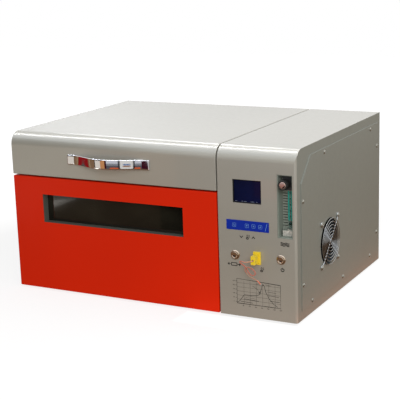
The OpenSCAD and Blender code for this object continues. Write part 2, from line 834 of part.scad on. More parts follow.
// Knuckles with the given parity along one hinge, and the leaf that carries them
module hinge_leaf(x, parity, up) {
  pitch = hinge_l / knuckle_count;
  clear = knuckle_d / 2 + 0.8;
  z_far = hinge_z + up * leaf_h;
  difference() {
    union() {
      for (i = [parity : 2 : knuckle_count - 1]) {
        x0 = x + i * pitch + knuckle_gap / 2;
        x1 = x + (i + 1) * pitch - knuckle_gap / 2;
        rod_x(x0, x1, hinge_y, hinge_z, knuckle_d);
        box([x0, rear, min(hinge_z, hinge_z + up * (clear + 1))],
            [x1, rear + leaf_t, max(hinge_z, hinge_z + up * (clear + 1))]);
      }
      box([x, rear, min(z_far, hinge_z + up * clear)],
          [x + hinge_l, rear + leaf_t, max(z_far, hinge_z + up * clear)]);
      for (u = [0.2, 0.8])
        rod_y(rear + leaf_t - 0.5, rear + leaf_t + rivet_h, x + hinge_l * u,
              hinge_z + up * (leaf_h + clear) / 2, rivet_d);
    }
    rod_x(x - eps, x + hinge_l + eps, hinge_y, hinge_z, hinge_pin_d + 2 * running);
  }
}

module hinge_body_leaves() {
  color("#8d9093") for (x = hinge_places) hinge_leaf(x, 0, -1);
}

module hinge_lid_leaves() {
  color("#8d9093") for (x = hinge_places) hinge_leaf(x, 1, 1);
}

module hinge_pins() {
  color("#c8c8c8") for (x = hinge_places) {
    rod_x(x - 1, x + hinge_l + 1, hinge_y, hinge_z, hinge_pin_d);
    rod_x(x - 2.5, x - 0.2, hinge_y, hinge_z, hinge_pin_d + 2.5);
    rod_x(x + hinge_l + 0.2, x + hinge_l + 2.5, hinge_y, hinge_z, hinge_pin_d + 2.5);
  }
}

// ---------------------------------------------------------------- drawer

win_l = left + window_x;
win_r = win_l + window_w;
win_top = deck_top - window_z;
win_low = win_top - window_h;

module drawer_front() {
  color("#c1240a") difference() {
    box([left, front, base], [hood_right, inner_front, deck_top]);
    box([left + sheet_t, front + sheet_t, base + sheet_t],
        [hood_right - sheet_t, inner_front + eps, deck_top - sheet_t]);
    box([win_l, front - eps, win_low], [win_r, front + sheet_t + eps, win_top]);
  }
}

module window_frame() {
  color("#767a70")
    ring_y(front + sheet_t, inner_front - glass_t - seat, win_l, win_r, win_low, win_top, sheet_t);
}

module window_glass() {
  color("#2a2620", 0.6) box(
    [win_l - glass_lap, inner_front - glass_t, win_low - glass_lap],
    [win_r + glass_lap, inner_front, win_top + glass_lap]);
}

module drawer_inner_panel() {
  color("#b9bcbf") difference() {
    box([left + 0.5, inner_front, base + 0.5], [hood_right - 0.5, inner_back, deck_top - 0.5]);
    box([win_l, inner_front - eps, win_low], [win_r, inner_back + eps, win_top]);
  }
}

module drawer_gasket() {
  color("#d9d6cb")
    ring_y(inner_back, inner_back + gasket_t, chamber_l, chamber_r, chamber_floor, mouth_top, gasket_w);
}

tray_low = chamber_floor + tray_z;
tray_x0 = chamber_l + tray_side;
tray_x1 = chamber_r - tray_side;
tray_y1 = wheel_front - tray_back;
tray_rim = 8;
tray_bar = 4;
bracket_t = 3;
bracket_l = 70;
rail_h = 6;

module work_tray() {
  w = tray_x1 - tray_x0 - 2 * tray_rim;
  l = tray_y1 - inner_back - 2 * tray_rim;
  cols = floor(w / tray_pitch);
  rows = floor(l / tray_pitch);
  color("#aeb1b3") difference() {
    union() {
      box([tray_x0, inner_back, tray_low], [tray_x1, tray_y1, tray_low + tray_t]);
      // Brackets that hang the tray on the drawer's inner panel
      for (x = [tray_x0 - bracket_t, tray_x1])
        box([x, inner_back, tray_low - 2 * rail_h],
            [x + bracket_t, inner_back + bracket_l, tray_low + 2 * rail_h + tray_t]);
      // Side rails
      for (x = [tray_x0, tray_x1 - bracket_t])
        box([x, inner_back, tray_low - rail_h], [x + bracket_t, tray_y1, tray_low + tray_t]);
    }
    for (i = [0 : cols - 1], j = [0 : rows - 1])
      translate([tray_x0 + tray_rim + i * w / cols, inner_back + tray_rim + j * l / rows, tray_low])
        box([tray_bar / 2, tray_bar / 2, -eps],
            [w / cols - tray_bar / 2, l / rows - tray_bar / 2, tray_t + eps]);
  }
}

carriage_back = slide_front + slide_l - 8;

bar_w = 24;
bar_y = 60;
spine_side = 4;

module drawer_carriage() {
  z0 = slide_z - slide_h / 2 + 4;
  color("silver") {
    for (x = [carriage_l, carriage_r - carriage_t])
      box([x, inner_back, z0], [x + carriage_t, carriage_back, carriage_top]);
    // Front plate fixed to the inner panel, with cross bars over the drive
    box([carriage_l, inner_back, z0], [carriage_r, inner_back + carriage_t, carriage_top]);
    for (y = [inner_back + bar_y, (inner_back + carriage_back) / 2, carriage_back - bar_w])
      box([carriage_l, y, bridge_low], [carriage_r, y + bar_w, carriage_top]);
    // Spine that holds the rack
    box([oven_mid - gear_w / 2 - spine_side, inner_back, bridge_low],
        [oven_mid + gear_w / 2 + spine_side, carriage_back, carriage_top]);
  }
}

// Trapezoid teeth of the rack, in the (Y, Z) plane, with a space at the pinion
function rack_tooth(c) =
  let (h = gear_module, half = tooth_pitch / 4 - gear_play / 2, lean = tan(pressure_angle))
    [[c - half - 1.25 * h * lean, pitch_z + 1.25 * h], [c - half + h * lean, pitch_z - h],
     [c + half - h * lean, pitch_z - h], [c + half + 1.25 * h * lean, pitch_z + 1.25 * h]];
rack_first = pinion_y + tooth_pitch / 2 - 4 * tooth_pitch;

module drawer_rack() {
  y0 = rack_first - tooth_pitch / 2;
  y1 = y0 + rack_teeth * tooth_pitch;
  color("#8d9093") along_x(oven_mid - gear_w / 2, oven_mid + gear_w / 2) polygon(concat(
    [[y0, rack_top], [y0, pitch_z + 1.25 * gear_module]],
    [for (i = [0 : rack_teeth - 1]) each rack_tooth(rack_first + i * tooth_pitch)],
    [[y1, pitch_z + 1.25 * gear_module], [y1, rack_top]]
  ));
}

// Involute flank of the pinion: radius and half-angle of the tooth at that radius
function involute(r) = let (base_r = pitch_r * cos(pressure_angle), a = acos(min(1, base_r / r)))
  tan(a) * 180 / PI - a;
function tooth_half(r) =
  90 / pinion_teeth - gear_play / 2 / pitch_r * 180 / PI + involute(pitch_r)
    - involute(max(r, pitch_r * cos(pressure_angle)));
flank_steps = 5;
root_r = pitch_r - 1.25 * gear_module;
outer_r = pitch_r + gear_module;
function flank_r(k) = root_r + (outer_r - root_r) * k / flank_steps;
function flank_point(mid, s, k) =
  let (a = mid + s * tooth_half(flank_r(k))) flank_r(k) * [cos(a), sin(a)];
function pinion_outline() = [
  for (i = [0 : pinion_teeth - 1]) let (mid = 90 + i * 360 / pinion_teeth) each concat(
    [for (k = [0 : flank_steps]) flank_point(mid, -1, k)],
    [for (k = [flank_steps : -1 : 0]) flank_point(mid, 1, k)]
  )
];

module drive_pinion() {
  color("#b08d3c") {
    along_x(oven_mid - gear_w / 2 - 1, oven_mid + gear_w / 2 + 1)
      translate([pinion_y, pinion_z]) polygon(pinion_outline());
    rod_x(oven_mid - gear_w / 2 - 30, oven_mid + gear_w / 2 + 12, pinion_y, pinion_z, drive_shaft_d);
  }
}

motor_gap = 8;
bearing_gap = 3;
bearing_w = 5;
plate_w = 20;

module drive_motor() {
  x1 = oven_mid - gear_w / 2 - motor_gap;
  x2 = oven_mid + gear_w / 2 + bearing_gap;
  z0 = base + sheet_t;
  color("#55585b") difference() {
    union() {
      rod_x(x1 - drive_motor_l, x1 - 3, pinion_y, pinion_z, drive_motor_d);
      // Motor plate, end bearing and the foot that joins them
      box([x1 - 4, pinion_y - plate_w, z0], [x1, pinion_y + plate_w, pinion_z + 14]);
      box([x2, pinion_y - plate_w / 2, z0], [x2 + bearing_w, pinion_y + plate_w / 2, pinion_z + 9]);
      box([x1 - 30, pinion_y - plate_w, z0], [x2 + bearing_w, pinion_y + plate_w, z0 + 2]);
    }
    rod_x(x1 - 26, x2 + bearing_w + eps, pinion_y, pinion_z, drive_shaft_d + 2 * running);
  }
}

// C-shaped slide member at the given side, nested by its web offset and height
module slide_member(side, web, depth, height, y0, y1) {
  x_wall = side < 0 ? bay_l : bay_r;
  xa = x_wall - side * web;
  xb = xa - side * slide_t;
  xc = xa - side * depth;
  box([min(xa, xb), y0, slide_z - height / 2], [max(xa, xb), y1, slide_z + height / 2]);
  for (s = [-1, 1]) {
    z = slide_z + s * (height - slide_t) / 2;
    box([min(xa, xc), y0, z - slide_t / 2], [max(xa, xc), y1, z + slide_t / 2]);
  }
}

nest = slide_t + wall_gap;

module slide_outer_members() {
  color("#a5a8ab") for (s = [-1, 1])
    slide_member(s, 0, slide_w - 3.5, slide_h, slide_front, slide_front + slide_l);
}

module slide_middle_members() {
  color("#a5a8ab") for (s = [-1, 1])
    slide_member(s, nest, slide_w - nest - 3.2, slide_h - 2 * nest,
                 slide_front, slide_front + slide_l - 10);
}

// The inner member opens towards the wall, with its web on the carriage
module slide_inner_members() {
  color("#a5a8ab") for (s = [-1, 1])
    slide_member(s, slide_w - slide_t, -(slide_w - 2 * (slide_t + nest)), slide_h - 4 * nest,
                 slide_front, slide_front + slide_l - 14);
}

// ---------------------------------------------------------------- control panel

display_l = cabinet_left + display_x;
display_r = display_l + display_w;
display_top = top - display_z;
display_low = display_top - display_h;
display_edge = 5;
display_t = 5;
keypad_l = cabinet_left + keypad_x;
keypad_top = top - keypad_z;
keypad_low = keypad_top - keypad_h;
board_t = 1.6;
board_back = 14;
board_side = 14;
post_d = 6;

module display_module() {
  y0 = front + sheet_t;
  y1 = y0 + display_t;
  e = display_edge;
  color("#0a102d") {
    box([display_l - e, y0, display_low - e], [display_r + e, y1, display_top + e]);
    box([display_l - e - 4, y1, display_low - e - 3],
        [display_r + e + 4, y1 + board_t, display_top + e + 3]);
  }
}

module keypad_membrane() {
  color("#082896")
    box([keypad_l, front - keypad_t, keypad_low], [keypad_l + keypad_w, front, keypad_top]);
}

module controller_board() {
  x0 = cabinet_left + board_side;
  x1 = meter_l - board_side / 2;
  z0 = keypad_low - board_side;
  z1 = display_top + board_side + 4;
  y0 = front + sheet_t + board_back;
  color("#1c6b3a") {
    box([x0, y0, z0], [x1, y0 + board_t, z1]);
    for (x = [x0 + 5, x1 - 5], z = [z0 + 5, z1 - 5]) rod_y(front + sheet_t, y0, x, z, post_d);
    // Controller chip, terminal blocks and capacitors
    translate([x0 + 20, y0 + board_t, z0 + 40]) box([0, 0, 0], [14, 2.4, 14]);
    for (i = [0 : 3]) translate([x0 + 12 + 18 * i, y0 + board_t, z0 + 4]) box([0, 0, 0], [13, 10, 8]);
    for (i = [0 : 2]) rod_y(y0 + 1, y0 + 14, x0 + 20 + 16 * i, z1 - 14, 9);
  }
}

button_out = 4;
button_neck = 6;
bezel_out = 2.2;
barrel_l = 24;
cap_bore = 10;
neck_bore = 19;
button_mid_z = top - button_z;
function button_places() = [cabinet_left + drawer_button_x, right - nitrogen_button_x];

module button_housing(x) {
  z = button_mid_z;
  color("#c3c6c8") difference() {
    union() {
      rod_y(front - bezel_out, front, x, z, bezel_d);
      rod_y(front - 1, front + barrel_l, x, z, bezel_d - 2 - 2 * seat);
      // Nut behind the panel
      rod_y(front + sheet_t, front + sheet_t + 3, x, z, bezel_d + 3);
    }
    rod_y(front - bezel_out - eps, front + cap_bore, x, z, button_d + 2 * running + 0.1);
    rod_y(front + cap_bore - eps, front + neck_bore, x, z, button_neck + 2);
  }
}

module button_housings() {
  for (x = button_places()) button_housing(x);
}

module push_button(x) {
  rod_y(front - button_out, front + cap_bore - button_travel - wall_gap, x, button_mid_z, button_d);
  rod_y(front, front + neck_bore - button_travel - wall_gap, x, button_mid_z, button_neck);
}

module drawer_button() {
  color("#b4b7b9") push_button(button_places()[0]);
}

module nitrogen_button() {
  color("#b4b7b9") push_button(button_places()[1]);
}

// ---------------------------------------------------------------- flow meter

meter_r = right - flow_x;
meter_l = meter_r - flow_w;
meter_mid = (meter_l + meter_r) / 2;
meter_top = top - flow_z;
meter_low = meter_top - flow_h;
meter_t = 1.5;
channel_back = front + flow_depth;
tube_y = front + tube_in;
tube_mid = meter_mid + tube_x;
block_y = front + block_in;
head_h = 30;
foot_block = 12.5;
knob_z = meter_top - 16.5;
head_low = meter_top - head_h;
foot_top = meter_low + foot_block;
tube_bore = float_d + 1.4;
tube_low = foot_top - 2;
tube_top = head_low + 4;
float_z = foot_top + 11.5;
meter_edge = 6;
tail_d = 7;
tail_l = 16;
stem_d = 6;
stem_end = block_y + 7;

module flow_meter_housing() {
  y0 = front + sheet_t;
  y1 = channel_back - meter_t;
  color("#7c8177") difference() {
    union() {
      difference() {
        box([meter_l, y0, meter_low], [meter_r, channel_back, meter_top]);
        box([meter_l + meter_t, front, meter_low + meter_t], [meter_r - meter_t, y1, meter_top - meter_t]);
      }
      // Mounting flange behind the panel, short of the bent edge of the cabinet
      difference() {
        box([meter_l - meter_edge, y0, meter_low - meter_edge],
            [min(meter_r + meter_edge, right - edge_r - seat), y0 + meter_t, meter_top + meter_edge]);
        box([meter_l, front, meter_low], [meter_r, front + edge_r, meter_top]);
      }
      // Valve head and foot block that hold the tube
      for (z = [[meter_low + meter_t, foot_top], [head_low, meter_top - meter_t]])
        box([meter_mid - block_w / 2, block_y, z[0]], [meter_mid + block_w / 2, y1, z[1]]);
      // Hose tails
      for (z = [meter_low + tail_l / 2, meter_top - tail_l / 2])
        rod_y(channel_back - 1, channel_back + tail_l, meter_mid, z, tail_d);
    }
    rod_z(tube_low, tube_top, tube_mid, tube_y, tube_d + 2 * seat);
    rod_y(block_y - eps, stem_end + running, meter_mid, knob_z, stem_d + 2 * running);
  }
}

module flow_tube() {
  color("#cfe8e4", 0.5) difference() {
    rod_z(tube_low + 0.1, tube_top - 0.1, tube_mid, tube_y, tube_d);
    rod_z(tube_low, tube_top, tube_mid, tube_y, tube_bore);
  }
}

module flow_float() {
  color("#181818") translate([tube_mid, tube_y, float_z]) rotate_extrude($fn = 32) {
    intersection() {
      circle(float_d / 2);
      translate([0, -float_d]) square([float_d, 2 * float_d]);
    }
  }
}

knob_out = 10;

module flow_knob() {
  y0 = front - knob_out;
  color("#1c1c1c") {
    difference() {
      rod_y(y0, y0 + knob_l, meter_mid, knob_z, knob_d);
      rod_y(y0 - eps, y0 + 0.8, meter_mid, knob_z, knob_d - 3.4);
      for (i = [0 : 23]) translate([meter_mid, 0, knob_z]) rotate([0, i * 15, 0])
        rod_y(y0 - eps, y0 + knob_l - 2, knob_d / 2 + 0.5, 0, 1.6);
    }
    rod_y(y0 + 0.8, stem_end, meter_mid, knob_z, stem_d);
  }
}

// ---------------------------------------------------------------- temperature sensor

plug_mid_x = cabinet_left + socket_x;
plug_mid_z = top - socket_z;
socket_lap = 1.5;
socket_face = front - socket_out;
plug_back = socket_face - 0.1;
plug_front = plug_back - plug_l;
plug_hole = 4;

module sensor_socket() {
  color("#d9bc2e") difference() {
    union() {
      box([plug_mid_x - socket_w / 2, socket_face, plug_mid_z - socket_h / 2],
          [plug_mid_x + socket_w / 2, front, plug_mid_z + socket_h / 2]);
      box([plug_mid_x - socket_w / 2 + 2, front - 1, plug_mid_z - socket_h / 2 + 2.5],
          [plug_mid_x + socket_w / 2 - 2, front + 20, plug_mid_z + socket_h / 2 - 2.5]);
    }
    for (s = [-1, 1]) plug_blade(s, seat);
  }
}

// One flat contact of the plug, grown by the given margin
module plug_blade(s, margin) {
  h = s < 0 ? 3.2 : 2.4;
  box([plug_mid_x - 0.4 - margin, plug_back - 1, plug_mid_z + s * 4 - h / 2 - margin],
      [plug_mid_x + 0.4 + margin, plug_back + 14 + margin, plug_mid_z + s * 4 + h / 2 + margin]);
}

module sensor_plug() {
  color("#d9bc2e") {
    difference() {
      box([plug_mid_x - plug_w / 2, plug_front, plug_mid_z - plug_h / 2],
          [plug_mid_x + plug_w / 2, plug_back, plug_mid_z + plug_h / 2]);
      rod_y(plug_front - eps, plug_front + plug_hole, plug_mid_x, plug_mid_z, wire_d + 2);
      for (s = [-1, 1]) rod_x(plug_mid_x + plug_w / 2 - 1, plug_mid_x + plug_w / 2 + eps,
                              plug_front + 6 + 2.5 * (s + 1), plug_mid_z + 3 * s, 3.4);
    }
    for (s = [-1, 1]) {
      plug_blade(s, 0);
      rod_x(plug_mid_x + plug_w / 2 - 1.2, plug_mid_x + plug_w / 2 - 0.3,
            plug_front + 6 + 2.5 * (s + 1), plug_mid_z + 3 * s, 2.8);
    }
  }
}

// Smooth curve through the route's points, a few short pieces between each two
function spline(p, i, t) =
  let (a = p[max(i - 1, 0)], b = p[i], c = p[i + 1], d = p[min(i + 2, len(p) - 1)])
    0.5 * (2 * b + (c - a) * t + (2 * a - 5 * b + 4 * c - d) * t * t + (3 * b - a - 3 * c + d) * t * t * t);
route_steps = 2;
function smooth_route(p) = [
  for (i = [0 : len(p) - 2], k = [0 : route_steps - 1]) spline(p, i, k / route_steps),
  p[len(p) - 1]
];
function unit(v) = v / norm(v);
function heading(p, i) = unit(p[min(i + 1, len(p) - 1)] - p[max(i - 1, 0)]);

// Side vectors carried along the curve, so that the rings don't twist
function sides(p, i = 0, u = [0, 0, 1], out = []) =
  i == len(p) ? out :
    let (h = heading(p, i), v = unit(u - (u * h) * h)) sides(p, i + 1, v, concat(out, [v]));

module sweep(p, d, n) {
  u = sides(p);
  rings = [for (i = [0 : len(p) - 1], k = [0 : n - 1])
    let (w = cross(heading(p, i), u[i]), a = k * 360 / n) p[i] + d / 2 * (cos(a) * u[i] + sin(a) * w)];
  last = (len(p) - 1) * n;
  walls = [for (i = [0 : len(p) - 2], k = [0 : n - 1]) let (m = (k + 1) % n)
    [i * n + k, (i + 1) * n + k, (i + 1) * n + m, i * n + m]];
  caps = [[for (k = [0 : n - 1]) k], [for (k = [n - 1 : -1 : 0]) last + k]];
  polyhedron(rings, concat(walls, caps), convexity = 8);
}

module sensor_wire() {
  start = [plug_mid_x, plug_front + plug_hole, plug_mid_z];
  face = [plug_mid_x, plug_front, plug_mid_z];
  route = concat([start], [for (p = wire_route) face + p + [0, -0.5, 0]]);
  color("#b5562a") {
    sweep(smooth_route(route), wire_d, 8);
    translate(route[len(route) - 1]) sphere(d = tip_d, $fn = 16);
  }
}

// ---------------------------------------------------------------- cooling fan

module cooling_fan_frame() {
  x0 = right - fan_depth;
  color("#9fa2a4") difference() {
    union() {
      difference() {
        box([x0, fan_mid_y - fan_size / 2, fan_mid_z - fan_size / 2],
            [right, fan_mid_y + fan_size / 2, fan_mid_z + fan_size / 2]);
        rod_x(x0 - eps, right + eps, fan_mid_y, fan_mid_z, fan_bore);
      }
      // Spider that carries the hub bearing
      for (a = [45, 135]) translate([0, fan_mid_y, fan_mid_z]) rotate([a, 0, 0])
        box([x0, -fan_bore / 2 - 1, -2.5], [x0 + 3, fan_bore / 2 + 1, 2.5]);
      rod_x(x0, x0 + 3, fan_mid_y, fan_mid_z, hub_d + 2);
      rod_x(x0, x0 + 9, fan_mid_y, fan_mid_z, 10);
    }
    rod_x(x0 + 1, x0 + 9 + eps, fan_mid_y, fan_mid_z, 4 + 2 * running);
    for (p = fan_corners()) rod_x(x0 - eps, right + eps, p[0], p[1], 4.3);
  }
}

blade_angle = 38;
blade_w = 31;
blade_t = 1.8;

module cooling_fan_rotor() {
  x0 = right - fan_depth;
  color("#1c1d1e") {
    difference() {
      rod_x(x0 + 4, right - 3, fan_mid_y, fan_mid_z, hub_d);
      rod_x(x0 + 3, right - 5, fan_mid_y, fan_mid_z, hub_d - 3);
    }
    rod_x(x0 + 1.5, right - 4, fan_mid_y, fan_mid_z, 4);
    intersection() {
      for (i = [0 : blade_count - 1])
        translate([(x0 + right + 1) / 2, fan_mid_y, fan_mid_z])
          rotate([i * 360 / blade_count, 0, 0]) rotate([0, 0, blade_angle])
          box([-blade_t / 2, -blade_w / 2, hub_d / 2 - 2], [blade_t / 2, blade_w / 2, fan_bore / 2]);
      difference() {
        rod_x(x0 + 4.5, right - 3.5, fan_mid_y, fan_mid_z, fan_bore - 3);
        rod_x(x0, right, fan_mid_y, fan_mid_z, hub_d - 1);
      }
    }
  }
}

eye_t = 2;
eye_d = 10;

// Chrome wire guard: rings on four legs that reach the fan screws
module fan_guard() {
  x_ring = right + cover_t + 3.6;
  x_leg = x_ring - guard_wire * 0.75;
  r_out = fan_bore / 2 - 1;
  color("#d8dadc") {
    for (i = [1 : ring_count]) translate([x_ring, fan_mid_y, fan_mid_z]) rotate([0, 90, 0])
      rotate_extrude($fn = 72) translate([r_out * i / ring_count, 0]) circle(d = guard_wire, $fn = 16);
    for (p = fan_corners()) {
      dy = p[0] - fan_mid_y;
      dz = p[1] - fan_mid_z;
      reach = norm([dy, dz]);
      translate([x_leg, fan_mid_y, fan_mid_z]) rotate([atan2(dz, dy), 0, 0])
        rotate([-90, 0, 0])
          cylinder(h = reach - screw_head_d / 2 - 0.2, d = guard_wire, $fn = 24);
      difference() {
        rod_x(right + cover_t, right + cover_t + eye_t, p[0], p[1], eye_d);
        rod_x(right, right + cover_t + eye_t + eps, p[0], p[1], screw_hole_d);
      }
    }
  }
}

// ---------------------------------------------------------------- electrics and gas

supply_l = 160;
supply_w = 99;
supply_h = 42;
supply_back = 50;
supply_side = 22;

module power_supply() {
  translate([cabinet_left + supply_side, rear - supply_back, base + sheet_t])
    color("#b9bcbf") box([0, -supply_l, 0], [supply_w, 0, supply_h]);
}

sink_w = 70;
sink_l = 90;
sink_h = 40;
sink_base = 6;
sink_front = 50;
sink_side = 16;
fin_t = 2;
fin_pitch = 6;
relay_w = 26;
relay_h = 28;

// Finned heat sink with two solid-state relays beside its fins
module relay_heat_sink() {
  translate([cabinet_left + sink_side, front + sink_front, base + sheet_t]) color("#8d9093") {
    box([0, 0, 0], [sink_w, sink_l, sink_base]);
    for (i = [0 : 6]) translate([sink_w - fin_t - fin_pitch * i, 0, 0])
      box([0, 0, sink_base - 1], [fin_t, sink_l, sink_h]);
    for (i = [0, 1]) translate([2, 4 + i * sink_l / 2, sink_base])
      box([0, 0, 0], [relay_w, sink_l / 2 - 8, relay_h - sink_base]);
  }
}

valve_back = 130;

module solenoid_valve() {
  x0 = cabinet_left + sheet_t;
  y = rear - valve_back;
  z = base + nitrogen_z;
  color("#b08d3c") {
    box([x0, y - 14, z - 20], [x0 + 6, y + 14, z + 22]);
    box([x0 + 6, y - 12, z - 12], [x0 + 30, y + 12, z + 8]);
    rod_z(z + 7, z + 40, x0 + 18, y, 20);
    rod_y(y - 22, y + 22, x0 + 18, z - 2, 9);
  }
}

nitrogen_body_d = 11.4;

module nitrogen_inlet() {
  x = right - nitrogen_x;
  z = base + nitrogen_z;
  color("#a5a8ab") difference() {
    union() {
      rod_y(rear - 16, rear + 18, x, z, nitrogen_body_d);
      rod_y(rear, rear + 5, x, z, 17);
      rod_y(rear - sheet_t - 4, rear - sheet_t, x, z, 17);
      rod_y(rear + 5, rear + 20, x, z, 14);
    }
    rod_y(rear + 3, rear + 20 + eps, x, z, hose_d + 0.2);
    rod_y(rear - 16 - eps, rear + 4, x, z, hose_d - 3);
  }
}

inlet_mid = right - inlet_x;
inlet_base = base + inlet_z;
flange_out = 3;
inlet_body = 39;
inlet_flange = 48;
inlet_switch = 6;
rocker_w = 13;
rocker_h = 17;
rocker_z = inlet_base + 13.5;
rocker_y = rear - 1;
rocker_tilt = 10;
trunnion_d = 3;

// Appliance inlet with the mains switch housing above it
module mains_inlet() {
  color("#1c1c1c") {
    difference() {
      union() {
        translate([inlet_mid, rear, inlet_base]) {
          box([-inlet_flange / 2, 0, -inlet_flange / 2],
              [inlet_flange / 2, flange_out, inlet_flange / 2 + inlet_switch]);
          box([-inlet_body / 2, -24, -inlet_body / 2], [inlet_body / 2, 1, inlet_body / 2 + inlet_switch]);
        }
      }
      box([inlet_mid - 12, rear - 15, inlet_base - 18],
          [inlet_mid + 12, rear + flange_out + eps, inlet_base - 2]);
      box([inlet_mid - rocker_w / 2 - 0.5, rear - 12, rocker_z - rocker_h / 2 - 0.8],
          [inlet_mid + rocker_w / 2 + 0.5, rear + flange_out + eps, rocker_z + rocker_h / 2 + 0.8]);
      rod_x(inlet_mid - rocker_w / 2 - 3, inlet_mid + rocker_w / 2 + 3, rocker_y, rocker_z,
            trunnion_d + 2 * running);
    }
    // Contact pins
    for (p = [[0, -8], [-7, -12], [7, -12]])
      translate([inlet_mid + p[0], rear, inlet_base + p[1]]) box([-1, -16, -2], [1, -2, 2]);
  }
}

// Rocker that turns about its trunnions, resting in the off position
module mains_switch() {
  color("#8c1a12") translate([0, rocker_y, rocker_z]) rotate([-rocker_tilt, 0, 0]) {
    along_x(inlet_mid - rocker_w / 2, inlet_mid + rocker_w / 2) polygon([
      [-5, -4], [-5, 4], [1, 7], [4.6, 7.6], [3.4, 0], [4.6, -7.6], [1, -7]
    ]);
    rod_x(inlet_mid - rocker_w / 2 - 2.5, inlet_mid + rocker_w / 2 + 2.5, 0, 0, trunnion_d);
  }
}

// ---------------------------------------------------------------- build

base_pan();
rubber_feet();
cabinet_shell();
centre_partition();
rear_panel();
left_side_panel();
oven_front_frame();
side_cover();
panel_screws();
chamber_liner();
chamber_insulation();
lower_heaters();
circulation_fan_motor();
circulation_fan_wheel();
exhaust_spigot();
lid_shell();
lid_handle();
lid_handle_screws();
lid_liner();
lid_insulation();
upper_heaters();
lid_gasket();
hinge_body_leaves();
hinge_lid_leaves();
hinge_pins();
drawer_front();
window_frame();
window_glass();
drawer_inner_panel();
drawer_gasket();
work_tray();
drawer_carriage();
drawer_rack();
slide_inner_members();
slide_middle_members();
slide_outer_members();
drive_pinion();
drive_motor();
display_module();
keypad_membrane();
controller_board();
drawer_button();
nitrogen_button();
button_housings();
flow_meter_housing();
flow_tube();
flow_float();
flow_knob();
sensor_socket();
sensor_plug();
sensor_wire();
cooling_fan_frame();
cooling_fan_rotor();
fan_guard();
power_supply();
relay_heat_sink();
solenoid_valve();
nitrogen_inlet();
mains_inlet();
mains_switch();
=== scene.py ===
"""Looks of the bench-top reflow oven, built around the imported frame."""
import json
from math import cos, hypot, pi, radians, sin, sqrt

import bmesh
import bpy
from mathutils import Matrix, Vector

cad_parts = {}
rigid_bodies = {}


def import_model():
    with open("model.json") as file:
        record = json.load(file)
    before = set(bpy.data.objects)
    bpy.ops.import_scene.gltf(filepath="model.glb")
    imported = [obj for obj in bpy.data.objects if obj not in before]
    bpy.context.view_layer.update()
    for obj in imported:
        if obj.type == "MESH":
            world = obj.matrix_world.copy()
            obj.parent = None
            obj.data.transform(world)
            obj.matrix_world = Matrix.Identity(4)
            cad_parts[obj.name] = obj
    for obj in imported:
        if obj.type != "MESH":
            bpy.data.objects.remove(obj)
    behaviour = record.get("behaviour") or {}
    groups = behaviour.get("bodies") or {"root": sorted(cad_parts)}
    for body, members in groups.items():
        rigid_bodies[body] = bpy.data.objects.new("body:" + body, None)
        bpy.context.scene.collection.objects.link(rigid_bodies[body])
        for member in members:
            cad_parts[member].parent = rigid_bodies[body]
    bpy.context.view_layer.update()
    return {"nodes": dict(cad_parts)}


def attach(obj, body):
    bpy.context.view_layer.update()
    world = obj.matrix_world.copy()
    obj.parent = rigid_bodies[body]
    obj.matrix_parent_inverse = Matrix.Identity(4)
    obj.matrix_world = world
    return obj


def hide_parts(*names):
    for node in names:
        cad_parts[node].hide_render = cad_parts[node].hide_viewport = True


for old in list(bpy.data.objects):
    bpy.data.objects.remove(old)
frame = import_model()
NODES = frame["nodes"]
MM = 0.001
TOLERANCE = 0.02

# Planes and places of the frame that the pieces below are set against, in millimetres
LEFT, RIGHT = -305, 305
FRONT, REAR = -222.5, 222.5
TOP, BASE = 319, 4
CORNER_R = 25
LID_BASE, DECK_TOP = 235.5, 232.5
HOOD_RIGHT, CABINET_LEFT = 148.5, 151
COVER_FACE = 306.5
RIGHTWARD, FORWARD, REARWARD, UPWARD = (1, 0, 0), (0, -1, 0), (0, 1, 0), (0, 0, 1)


def mm(*values):
    return [v * MM for v in values]


def link(name, data):
    obj = bpy.data.objects.new(name, data)
    bpy.context.scene.collection.objects.link(obj)
    return obj


# ---- camera

CAM_POS = Vector((1.0346, -1.9439, 0.6793))
CAM_AZIMUTH, CAM_ELEVATION, CAM_ROLL = radians(28.11), radians(13.35), radians(-1.80)
SENSOR_WIDTH, LENS = 36, 99.08


def make_camera():
    data = bpy.data.cameras.new("camera")
    data.sensor_width, data.lens = SENSOR_WIDTH, LENS
    data.clip_start, data.clip_end = 0.05, 50
    cam = link("camera", data)
    a, e, r = CAM_AZIMUTH, CAM_ELEVATION, CAM_ROLL
    back = Vector((sin(a) * cos(e), -cos(a) * cos(e), sin(e)))
    level = (-back).cross(Vector(UPWARD)).normalized()
    rise = level.cross(-back)
    right = cos(r) * level + sin(r) * rise
    up = -sin(r) * level + cos(r) * rise
    cam.matrix_world = Matrix((*zip(right, up, back, CAM_POS), (0, 0, 0, 1)))
    bpy.context.scene.camera = cam


make_camera()

# ---- materials

MATS = {}


def lin(r, g, b):
    """Linear colour of an sRGB one given from 0 to 255."""
    return tuple((c / 255 / 12.92) if c <= 10 else ((c / 255 + 0.055) / 1.055) ** 2.4
                 for c in (r, g, b))


def scaled(colour, k):
    return tuple(min(1, c * k) for c in colour)


